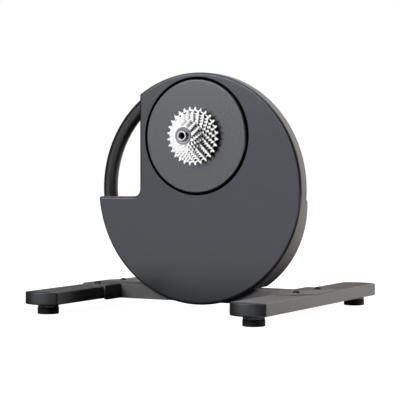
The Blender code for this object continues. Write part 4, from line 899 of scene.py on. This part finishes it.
@dataclass
class Base(Assembly):
    """Spine with its saddles, the two leg tubes, their end caps and the bolts."""

    leg_width: float = 75.0 * MM
    leg_length: float = 506.0 * MM
    leg_edge: float = 2.0 * MM
    leg_steps: int = 6
    leg_wall: float = 2.5 * MM
    cap_side: float = 3.0 * MM
    cap_bulge: float = 15.5 * MM
    cap_corner: float = 4.0 * MM
    cap_edge: float = 2.0 * MM
    cap_steps: tuple[int, int, int] = (6, 8, 24)    # of its edge, its corners and its arc
    spine_half: float = 28.0 * MM
    spine_wall: float = 4.0 * MM
    spine_edge: float = 2.0 * MM
    spine_steps: int = 5
    saddle_half: float = 87.5 * MM
    saddle_plate: float = 2.0 * MM
    saddle_wall: float = 4.0 * MM
    plate_edge: float = 0.5 * MM
    wall_edge: float = 0.4 * MM
    chamfer_x: float = 29.5 * MM
    chamfer_y: float = 37.0 * MM
    saddle_fillet: float = 9.0 * MM
    fillet_steps: int = 12
    leg_bolt_y: float = 49.0 * MM
    leg_bolt: float = 14.0 * MM     # length below its head
    body_bolt_x: float = 60.0 * MM
    body_bolt: float = 20.0 * MM
    bolt_radius: float = 4.0 * MM
    head_radius: float = 7.0 * MM
    head_height: float = 4.2 * MM
    dome: tuple[int, int, int] = (10, 80, 7)    # first and last angle, and steps, of its head
    bolt_steps: int = 48
    socket: float = 2.9 * MM
    socket_rim: float = 0.9 * MM
    socket_lip: float = 0.2 * MM
    socket_depth: float = 2.4 * MM

    @property
    def saddle_x(self) -> float:
        """Inner face of a saddle's upright wall."""
        return LAYOUT.leg_x - self.leg_width / 2 - GAP - self.saddle_wall

    def build(self) -> None:
        """Make every piece of the base."""
        lay = LAYOUT
        self._spine()
        for side, word in LEGS:
            self._saddle(side, word)
            self._leg(side, word)
            for across, end in ENDS:
                self._cap(side, across, f"{word}_{end}")
                place = (side * lay.leg_x, across * self.leg_bolt_y, lay.spine_top + GAP)
                self._bolt("leg_bolt", f"{word}_{end}", place, 1, self.leg_bolt)
            place = (side * self.body_bolt_x, (lay.parting_y + GAP + lay.back_y) / 2,
                     lay.spine_top - self.spine_wall - GAP)
            self._bolt("body_bolt", word, place, -1, self.body_bolt)

    def _spine(self) -> None:
        """Folded channel between the two saddles."""
        top, bottom, edge = LAYOUT.spine_top, LAYOUT.spine_bottom, self.spine_edge
        half, inside = self.spine_half, self.spine_half - self.spine_wall
        outer = corner((half - edge, top - edge), edge, 0, self.spine_steps)
        inner = mirrored([(inside, bottom), (inside, top - self.spine_wall)])
        section = mirrored([(half, bottom), *outer]) + inner[::-1]
        bm = lofted([(section, -self.saddle_x), (section, self.saddle_x)], Plane.YZ)
        piece("spine_beam", bm, BASE_COAT, replaces=["base_spine"])

    def _saddle(self, side: int, word: str) -> None:
        """Top plate over the leg, and the upright wall at its inner side.

        Args:
            side: Sign of X.
            word: Which leg, for the names.
        """
        low, top, length = LAYOUT.spine_bottom, LAYOUT.spine_top, self.saddle_half
        near, far = self.saddle_x, LAYOUT.leg_x + self.leg_width / 2
        under = top - self.saddle_plate
        short_x, short_y = far - self.chamfer_x, length - self.chamfer_y
        plate = [(near, -length), (short_x, -length), (far, -short_y), (far, short_y),
                 (short_x, length), (near, length)]
        plate = [(side * x, y) for x, y in plate]
        bm = lofted([(plate, under), (plate, top)], Plane.XY)
        ease(bm, [edge for edge in sharp_edges(bm)
                  if all(vert.co.z > top - 1e-5 for vert in edge.verts)], self.plate_edge)
        piece(f"saddle_plate_{word}", bm, BASE_COAT)
        fillet, steps = self.saddle_fillet, self.fillet_steps
        wall = arc((-length + fillet, low + fillet), fillet, 180, 270, steps)
        wall += arc((length - fillet, low + fillet), fillet, 270, 360, steps)
        wall += [(length, under), (-length, under)]
        bm = lofted([(wall, side * near), (wall, side * (near + self.saddle_wall))], Plane.YZ)
        ease(bm, sharp_edges(bm), self.wall_edge)
        piece(f"saddle_wall_{word}", bm, BASE_COAT)

    def _leg(self, side: int, word: str) -> None:
        """Flat rectangular tube across the bicycle.

        Args:
            side: Sign of X.
            word: Which leg, for the names.
        """
        lay, edge = LAYOUT, self.leg_edge
        wide, low, high = self.leg_width / 2 - edge, lay.leg_bottom + edge, lay.leg_top - edge
        section = [(x + side * lay.leg_x, z)
                   for a, b, start in ((wide, low, -90), (wide, high, 0), (-wide, high, 90),
                                       (-wide, low, 180))
                   for x, z in corner((a, b), edge, start, self.leg_steps)]
        end = self.leg_length / 2
        bm = lofted([(section, -end), (section, end)], Plane.XZ, (False, False))
        piece(f"{word}_leg_tube", bm, BASE_COAT, replaces=[f"{word}_leg"], wall=self.leg_wall)

    def _plan(self, inset: float) -> Outline:
        """Half-moon end of a cap: straight sides, rounded corners and a wide arc.

        Args:
            inset: How far the edge is moved inwards.

        Returns:
            Points as (distance from the leg's centre line, distance along the leg).
        """
        start = self.leg_length / 2 + GAP
        half, bulge = self.leg_width / 2, self.cap_bulge
        radius = (half ** 2 + bulge ** 2) / (2 * bulge)
        centre = start + self.cap_side + bulge - radius
        width, reach, bend = half - inset, radius - inset, self.cap_corner - inset
        x = width - bend
        y = centre + math.sqrt((reach - bend) ** 2 - x ** 2)
        turn = math.degrees(math.atan2(y - centre, x))
        right = [(width, start)] + arc((x, y), bend, 0, turn, self.cap_steps[1])[:-1]
        right += arc((0, centre), reach, turn, 90, self.cap_steps[2])
        return right + [(-a, b) for a, b in reversed(right[:-1])]

    def _cap(self, side: int, across: int, word: str) -> None:
        """Moulded end cap with eased edges.

        Args:
            side: Sign of X.
            across: Sign of Y.
            word: Which corner, for the names.
        """
        low, high, edge = LAYOUT.leg_bottom, LAYOUT.leg_top, self.cap_edge
        lead, steps = edge + LEAD, self.cap_steps[0]
        levels = [(lead, low), *rounding(low, edge, steps), (0.0, low + lead),
                  (0.0, high - lead), *rounding(high, -edge, steps), (lead, high)]
        sections = [([(a + side * LAYOUT.leg_x, across * b) for a, b in outline], z)
                    for outline, z in rings(self._plan, levels)]
        piece(f"end_cap_{word}", lofted(sections, Plane.XY), CAP_PLASTIC,
              replaces=[f"leg_cap_{word}"])

    def _bolt(self, kind: str, word: str, place: Point3, up: int, length: float) -> None:
        """Button-head bolt with a hexagon socket.

        Args:
            kind: What it holds, for the names.
            word: Where it is, for the names.
            place: Middle of the head's underside.
            up: 1 for a head that looks up, -1 for one that looks down.
            length: Length of the shank.
        """
        steps, (first, last, rows) = self.bolt_steps, self.dome
        head, height, rim = self.head_radius, self.head_height, self.socket + self.socket_rim
        sections = [(circle(self.bolt_radius, steps), -length),
                    (circle(self.bolt_radius, steps), 0.0), (circle(head, steps), 0.0)]
        for i in range(1, rows + 1):
            angle = math.radians(first + (last - first) * i / rows)
            radius = head * math.cos(angle) / math.cos(math.radians(first))
            if radius > rim:
                sections.append((circle(radius, steps), height * math.sin(angle)))
        top = height * math.sin(math.radians(last))
        sections += [(circle(rim, steps), top),
                     (hexagon(self.socket, steps), top - self.socket_lip),
                     (hexagon(self.socket, steps), top - self.socket_depth)]
        bm = lofted([(outline, up * z) for outline, z in sections], Plane.XY, at=place)
        piece(f"{kind}_head_{word}", bm, BOLT_STEEL, replaces=[f"{kind}_{word}"])


@dataclass
class Feet(Assembly):
    """Four levelling feet: a knurled wheel on its stud, and a rubber pad."""

    pad_radius: float = 21.3 * MM
    pad_height: float = 12.4 * MM
    pad_sole: float = 1.2 * MM      # rounding of its lower edge
    pad_top: float = 0.8 * MM       # rounding of its upper edge
    pad_steps: tuple[int, int, int] = (5, 4, 96)    # of the two roundings, and round the axis
    wheel_radius: float = 20.6 * MM
    wheel_height: float = 7.0 * MM
    wheel_edge: float = 0.6 * MM
    wheel_face: float = 0.96        # share of the outline that its flat faces have
    ribs: int = 28
    rib_steps: int = 8
    rib_depth: float = 1.2 * MM
    stud_radius: float = 5.0 * MM
    stud_length: float = 18.0 * MM

    def build(self) -> None:
        """Make all four feet."""
        for side, word in LEGS:
            for across, end in ENDS:
                place = Vector((side * LAYOUT.leg_x, across * LAYOUT.foot_y, 0.0))
                self._wheel(f"{word}_{end}", place)
                self._pad(f"{word}_{end}", place)

    def _wheel(self, word: str, place: Vector) -> None:
        """Knurled wheel and its stud.

        Args:
            word: Which corner, for the names.
            place: Point on the floor below its axis.
        """
        low, edge = self.pad_height + GAP, self.wheel_edge
        high, steps = low + self.wheel_height, self.ribs * self.rib_steps
        outline = []
        for i in range(steps):
            share = 0.5 - 0.5 * math.cos(math.tau * i / self.rib_steps)
            outline.append(polar(self.wheel_radius - self.rib_depth * share,
                                 math.tau * i / steps))
        inner = [(x * self.wheel_face, y * self.wheel_face) for x, y in outline]
        stud = circle(self.stud_radius, steps)
        bm = lofted([(inner, low), (outline, low + edge), (outline, high - edge),
                     (inner, high), (stud, high), (stud, high + self.stud_length)],
                    Plane.XY, at=place)
        piece(f"foot_wheel_{word}", bm, BLACK_PLASTIC, f"foot_{word}", [f"foot_screw_{word}"])

    def _pad(self, word: str, place: Vector) -> None:
        """Rubber pad with eased edges.

        Args:
            word: Which corner, for the names.
            place: Middle of its sole.
        """
        radius, height, (low, high, steps) = self.pad_radius, self.pad_height, self.pad_steps
        edges = rounding(0.0, self.pad_sole, low) + rounding(height, -self.pad_top, high)
        profile = [(0, 0), *((radius - inset, z) for inset, z in edges), (0, height)]
        bm = turned(profile, steps, place, ALONG_Z)
        piece(f"foot_rubber_{word}", bm, RUBBER, f"foot_{word}", [f"foot_pad_{word}"])


@dataclass
class Cassette(Assembly):
    """Eleven sprockets, the lockring and the axle's end caps."""

    teeth: tuple[int, ...] = (28, 25, 23, 21, 19, 17, 15, 14, 13, 12, 11)
    thickness: float = 1.6 * MM
    spacing: float = 3.74 * MM
    first_y: float = -53.5 * MM
    pitch: float = 12.7 * MM
    roller: float = 3.97 * MM
    seat: float = 62.0              # half angle of a roller's seat, in degrees
    seat_steps: int = 3             # on either side of its bottom
    addendum: float = 2.6 * MM
    tip: float = 1.8 * MM
    flank: float = 0.5 * MM         # from the tip down to where a tooth is wider
    flank_width: float = 1.7        # width there, and at the tip, in shares of the tip
    tip_width: float = 0.7
    edge: float = 0.22 * MM
    ring_depth: float = 2.5 * MM    # from the tooth roots down to the black carrier
    ring_steps: int = 72
    core_bore: float = 14.5 * MM    # of the carrier, round the freehub body
    carrier_play: float = 0.05 * MM
    aligned_at: float = -360 * 5 / 28   # where the large sprockets' gaps line up, in degrees
    small_aligned_at: float = 92.0      # where those of the last five do
    small: int = 15                     # most teeth of a small sprocket
    lockring_radius: float = 17.7 * MM
    lockring_bore: float = 10.6 * MM
    lockring_edge: Point2 = (0.4 * MM, 0.3 * MM)    # bevels of its rim and of its notches
    lockring_lip: float = 0.5 * MM
    notches: int = 12
    notch: float = 1.2 * MM
    notch_shares: tuple[float, ...] = (-0.24, -0.12, 0, 0.12, 0.24)     # of a full step
    bore_shares: tuple[float, ...] = (0.28, 0.5, 0.72)
    flange: float = 1.7 * MM
    thread: float = 14.2 * MM
    thread_length: float = 5.0 * MM
    axle_bore: float = 6.1 * MM
    drive_end_y: float = -99.0 * MM
    drive_cap: float = 10.0 * MM
    far_end_y: float = 43.0 * MM
    far_cap: float = 14.0 * MM
    cap_length: float = 6.0 * MM
    cap_edge: Point2 = (0.6 * MM, 0.8 * MM)         # bevels of its rim and of its bore
    lining: float = 0.7 * MM        # wall of the dull sleeve in an end cap's bore
    lining_play: float = 0.02 * MM
    lining_sunk: Point2 = (1.0 * MM, 2.4 * MM)      # depth of its outer and inner edge
    round_steps: int = 96

    def root(self, count: int) -> float:
        """Radius at the bottom of the roller seats of a sprocket."""
        return self.pitch / 2 / math.sin(math.pi / count) - self.roller

    def tooth_outline(self, count: int) -> Outline:
        """Edge of a sprocket: round roller seats between teeth with narrow tips.

        Args:
            count: Number of teeth.

        Returns:
            Points about the origin.
        """
        half = math.pi / count
        pitch_radius = self.pitch / 2 / math.sin(half)
        tip = pitch_radius + self.addendum
        tip_half = self.tip / 2 / tip
        start = math.radians(self.small_aligned_at if count <= self.small else self.aligned_at)
        outline = []
        for i in range(count):
            middle = 2 * half * i
            for k in range(-self.seat_steps, self.seat_steps + 1):
                # angle round the roller, from one flank through the bottom to the other
                swing = math.radians(180 + self.seat * k / self.seat_steps)
                x, y = polar(self.roller, -swing, (pitch_radius, 0.0))
                outline.append(polar(math.hypot(x, y), middle + math.atan2(y, x) + start))
            for radius, share in ((tip - self.flank, -self.flank_width), (tip, -self.tip_width),
                                  (tip, self.tip_width), (tip - self.flank, self.flank_width)):
                outline.append(polar(radius, middle + half + tip_half * share + start))
        return outline

    def build(self) -> None:
        """Make the sprockets, their carriers, the lockring and the end caps."""
        for i, count in enumerate(self.teeth):
            middle = self.first_y - self.spacing * i
            self._cog(middle, count)
            self._carrier(middle + self.thickness / 2, count)
        self._lockring()
        self._end_ring("drive", self.drive_end_y, 1, self.drive_cap)
        self._end_ring("far", self.far_end_y, -1, self.far_cap)

    def _cog(self, middle: float, count: int) -> None:
        """One sprocket with eased teeth, a ring round its carrier.

        Args:
            middle: Level of its middle plane.
            count: Number of teeth.
        """
        front, root = middle - self.thickness / 2, self.root(count)
        bm = bmesh.new()
        loops = [wire(bm, [Plane.XZ.point(pair, front) for pair in outline])
                 for outline in (self.tooth_outline(count),
                                 circle(root - self.ring_depth, self.ring_steps))]
        fill(bm, loops[0] + loops[1])
        made = bmesh.ops.extrude_face_region(bm, geom=bm.faces[:])
        moved = [item for item in made["geom"] if isinstance(item, bmesh.types.BMVert)]
        bmesh.ops.translate(bm, verts=moved, vec=(0, self.thickness, 0))
        bmesh.ops.recalc_face_normals(bm, faces=bm.faces)
        rim = []
        for edge in sharp_edges(bm):
            first, second = (vert.co for vert in edge.verts)
            if abs(first.y - second.y) < 1e-6 and math.hypot(first.x, first.z) > root - GAP:
                rim.append(edge)
        ease(bm, rim, self.edge, 1)
        bmesh.ops.translate(bm, verts=bm.verts, vec=LAYOUT.axle)
        piece(f"sprocket_{count}", bm, COG_STEEL, "cassette_body", [f"cog_{count}"])

    def _carrier(self, back: float, count: int) -> None:
        """Black disc that fills a sprocket and reaches forward to the next one; its black is
        partly painted shade for the gap.

        Args:
            back: Level of the sprocket's back.
            count: The sprocket's number of teeth.
        """
        last = count == min(self.teeth)
        front = back - self.thickness if last else back - self.spacing + GAP
        radius = self.root(count) - self.ring_depth - self.carrier_play
        bm = turned([(self.core_bore, front), (self.core_bore, back), (radius, back),
                     (radius, front)], self.round_steps, LAYOUT.axle, ALONG_Y)
        # Black, partly as painted shade for the gaps between sprockets.
        piece(f"sprocket_carrier_{count}", bm, CARRIER_BLACK_AND_GAP_SHADE, "cassette_body")

    def _lockring(self) -> None:
        """Lockring with its inner tool notches."""
        last = self.first_y - self.spacing * (len(self.teeth) - 1)
        back = last - self.thickness / 2 - GAP
        front, far = back - self.flange, back + self.thread_length
        bore, deep = self.lockring_bore, self.lockring_bore + self.notch
        steps = [(share, deep) for share in self.notch_shares]
        steps += [(share, bore) for share in self.bore_shares]
        notched = [polar(radius, math.tau * (i + share) / self.notches)
                   for i in range(self.notches) for share, radius in steps]
        (rim_edge, notch_edge), wide = self.lockring_edge, self.lockring_radius
        round_parts = ((deep + self.lockring_lip, front), (wide - rim_edge, front),
                       (wide, front + rim_edge), (wide, back), (self.thread, back),
                       (self.thread, far))
        sections = [(notched, far), (notched, front + notch_edge)]
        sections += [(circle(radius, len(notched)), y) for radius, y in round_parts]
        bm = lofted(sections, Plane.XZ, (False, False), closed=True, at=LAYOUT.axle)
        piece("lockring_ring", bm, LOCKRING_ALLOY, "cassette_body", ["lockring"])

    def _end_ring(self, end: str, face: float, inward: int, radius: float) -> None:
        """Bright ring at an end of the axle, and the dull sleeve in its bore.

        Args:
            end: Which end, for the names.
            face: Level of its outer face.
            inward: Sign of Y towards the bicycle's middle.
            radius: Its outer radius.
        """
        inner, bore = face + inward * self.cap_length, self.axle_bore + self.lining
        rim, mouth = self.cap_edge
        ring = [(bore, inner), (radius, inner), (radius, face + inward * rim),
                (radius - rim, face), (bore + mouth, face), (bore, face + inward * mouth)]
        bm = turned(ring, self.round_steps, LAYOUT.axle, ALONG_Y)
        piece(f"{end}_end_ring", bm, BRIGHT_ALLOY, replaces=[f"{end}_end_cap"])
        sleeve, (outside, inside) = bore - self.lining_play, self.lining_sunk
        lining = [(self.axle_bore, inner), (sleeve, inner), (sleeve, face + inward * outside),
                  (self.axle_bore, face + inward * inside)]
        bm = turned(lining, self.round_steps, LAYOUT.axle, ALONG_Y)
        piece(f"{end}_end_ring_lining", bm, BORE_LINING)


@dataclass
class InnerWorks(Assembly):
    """Axle, bearings, belt drive, flywheel and electronics: CAD nodes with real finishes."""

    def dress(self) -> None:
        """Give each hidden or half-hidden node its finish."""
        for finish, nodes in (
                (TURNED_STEEL, (
                    "hub_axle", "freehub_body", "hub_bearing_drive", "hub_bearing_far",
                    "shaft_bearing_drive", "shaft_bearing_far", "flywheel", "flywheel_shaft",
                    "idler_arm")),
                (MACHINED_ALLOY, ("drive_pulley", "flywheel_pulley", "idler_pulley")),
                (RUBBER, ("belt",)), (BRAKE_COPPER, ("brake_magnets",)),
                (BOARD_GREEN, ("control_board",))):
            for name in nodes:
                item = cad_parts[name]
                item.data.materials.clear()
                item.data.materials.append(finish.make())
                log.info("dressed %s", name)


# ---- Studio ----


@dataclass(frozen=True)
class Softbox:
    """Rectangular light that faces a point."""

    name: str
    place: Point3
    aim: Point3
    width: float
    height: float
    watts: float
    colour: Point3 = (1.0, 1.0, 1.0)
    mirrored: bool = False          # whether glossy surfaces show it


@dataclass(frozen=True)
class Flag:
    """Black card that satin paint mirrors, upright round the set or flat on the floor."""

    name: str
    place: Point3
    width: float
    height: float
    turn: float             # degrees about Z; 0 faces along Y
    upright: bool = True
    shades: bool = True     # whether it also keeps off the light that the floor gives back


@dataclass
class Studio:
    """Camera, soft lights, black cards and a plain white floor."""

    lens: float = 135.07
    sensor: float = 36.0
    place: Point3 = (1.4921, -2.6845, 0.30865)
    azimuth: float = 29.26
    looks_down: float = 1.607
    shift: Point2 = (-0.00125, 0.00125)
    floor_size: float = 60.0
    floor_tone: float = 0.25        # how much light it gives back to the object
    floor_white: float = 0.98       # what the floor itself adds to the camera's white
    flag_tone: float = 0.01
    ambient: float = 0.10           # world's strength for diffuse light
    boxes: list[Softbox] = field(default_factory=lambda: [
        Softbox("front_softbox", (-1.3, -2.5, 1.7), (0, 0, 0.25), 1.8, 1.8, 60.0),
        Softbox("front_panel", (-1.3, -2.5, 2.0), (0, 0, 0.25), 2.8, 2.7, 56.0,
                mirrored=True),
        Softbox("right_softbox", (3.4, 1.95, 3.0), (0, 0, 0.25), 1.6, 2.0, 345.0,
                (1.0, 0.92, 0.85)),
        Softbox("top_softbox", (0.0, 0.2, 2.6), (0, 0, 0.2), 1.6, 1.6, 2.5),
    ])
    flags: list[Flag] = field(default_factory=lambda: [
        Flag("left_flag", (-2.12, 0.57, 0.95), 3.9, 1.9, 105.0),
        Flag("right_flag", (2.2, 0.0, 1.5), 2.2, 3.0, 93.0),
        Flag("camera_flag", (1.12, -1.9, 1.5), 2.8, 3.0, 30.5),
        Flag("back_flag", (-1.25, 2.25, 0.9), 2.4, 1.8, 29.0),
        Flag("floor_flag", (-0.52, -0.1, 0.0005), 1.56, 0.64, 0.0, False),
        Flag("front_floor_flag", (0.7, -0.31, 0.0005), 0.8, 0.58, 0.0, False, False),
        Flag("back_floor_flag", (0.06, 0.45, 0.0005), 0.4, 0.68, 0.0, False, False),
    ])

    def build(self) -> None:
        """Make the camera, the world, the floor, the lights and the black cards."""
        bpy.context.scene.view_settings.view_transform = "Standard"
        self._camera()
        self._world()
        self._floor()
        for box in self.boxes:
            self._softbox(box)
        cloth, _ = principled("black_flag_cloth", {
            "Base Color": grey(self.flag_tone), "Roughness": 1.0, "Specular IOR Level": 0.0})
        for flag in self.flags:
            self._flag(flag, cloth)

    def _camera(self) -> None:
        """Camera of the photograph."""
        data = bpy.data.cameras.new("camera")
        data.lens, data.sensor_width = self.lens, self.sensor
        data.shift_x, data.shift_y = self.shift
        item = bpy.data.objects.new("camera", data)
        bpy.context.scene.collection.objects.link(item)
        item.location = self.place
        item.rotation_euler = (math.radians(90 - self.looks_down), 0.0,
                               math.radians(self.azimuth))
        bpy.context.scene.camera = item

    def _world(self) -> None:
        """White to the camera, softer for everything that it lights."""
        world = bpy.data.worlds.new("studio_world")
        bpy.context.scene.world = world
        world.use_nodes = True
        tree = world.node_tree
        connect(tree.nodes["Background"], {"Color": grey(1.0), "Strength": add_node(
            tree, "MapRange", {"Value": self._seen(tree), "To Min": self.ambient})})

    @staticmethod
    def _seen(tree: bpy.types.NodeTree) -> bpy.types.NodeSocket:
        """Tell the rays that look at the background from the rays that gather light.

        Args:
            tree: Node tree to extend.

        Returns:
            1 for camera, glossy and transmission rays, and 0 for others.
        """
        rays = add_node(tree, "LightPath", {}).node.outputs
        direct = add_node(tree, "Math", {0: rays["Is Camera Ray"], 1: rays["Is Glossy Ray"]},
                          operation="MAXIMUM")
        return add_node(tree, "Math", {0: direct, 1: rays["Is Transmission Ray"]},
                        operation="MAXIMUM")

    def _floor(self) -> None:
        """Large plain floor that takes the shadow."""
        mat, shader = principled("white_studio_floor", {
            "Base Color": grey(self.floor_tone), "Roughness": 1.0, "Specular IOR Level": 0.0,
            "Emission Color": grey(1.0)})
        tree = mat.node_tree
        connect(shader, {"Emission Strength": add_node(
            tree, "Math", {0: self._seen(tree), 1: self.floor_white}, operation="MULTIPLY")})
        bm = bmesh.new()
        bmesh.ops.create_grid(bm, x_segments=1, y_segments=1, size=self.floor_size / 2)
        show("floor", bm, mat)

    @staticmethod
    def _softbox(box: Softbox) -> None:
        """One area light.

        Args:
            box: Its place, size and strength.
        """
        data = bpy.data.lights.new(box.name, "AREA")
        data.shape = "RECTANGLE"
        data.size, data.size_y = box.width, box.height
        data.energy, data.color = box.watts, box.colour
        item = bpy.data.objects.new(box.name, data)
        item.location = box.place
        toward = Vector(box.aim) - Vector(box.place)
        item.rotation_euler = toward.to_track_quat("-Z", "Y").to_euler()
        item.visible_camera, item.visible_glossy = False, box.mirrored
        bpy.context.scene.collection.objects.link(item)

    @staticmethod
    def _flag(flag: Flag, cloth: Material) -> None:
        """One black card that the camera doesn't see.

        Args:
            flag: Its place and size.
            cloth: Its material.
        """
        turn = Matrix.Rotation(math.radians(flag.turn), 4, "Z")
        if flag.upright:
            turn = turn @ Matrix.Rotation(math.radians(90), 4, "X")
        bm = bmesh.new()
        bmesh.ops.create_grid(bm, x_segments=1, y_segments=1, size=0.5)
        bmesh.ops.scale(bm, vec=(flag.width, flag.height, 1.0), verts=bm.verts)
        bmesh.ops.transform(bm, matrix=Matrix.Translation(flag.place) @ turn, verts=bm.verts)
        item = show(flag.name, bm, cloth)
        item.visible_camera = item.visible_shadow = False
        item.visible_diffuse = flag.shades


def main() -> None:
    """Build the studio and every sub-assembly."""
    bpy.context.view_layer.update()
    studio = Studio()
    studio.build()
    for assembly in (BodyShells(), HubCover(), RearHousing(), CarryHandle(), Base(), Feet(),
                     Cassette(), InnerWorks()):
        assembly.build()
        assembly.dress()
        log.info("finished %s", type(assembly).__name__)
    bpy.context.view_layer.update()


if __name__ == "__main__":
    main()
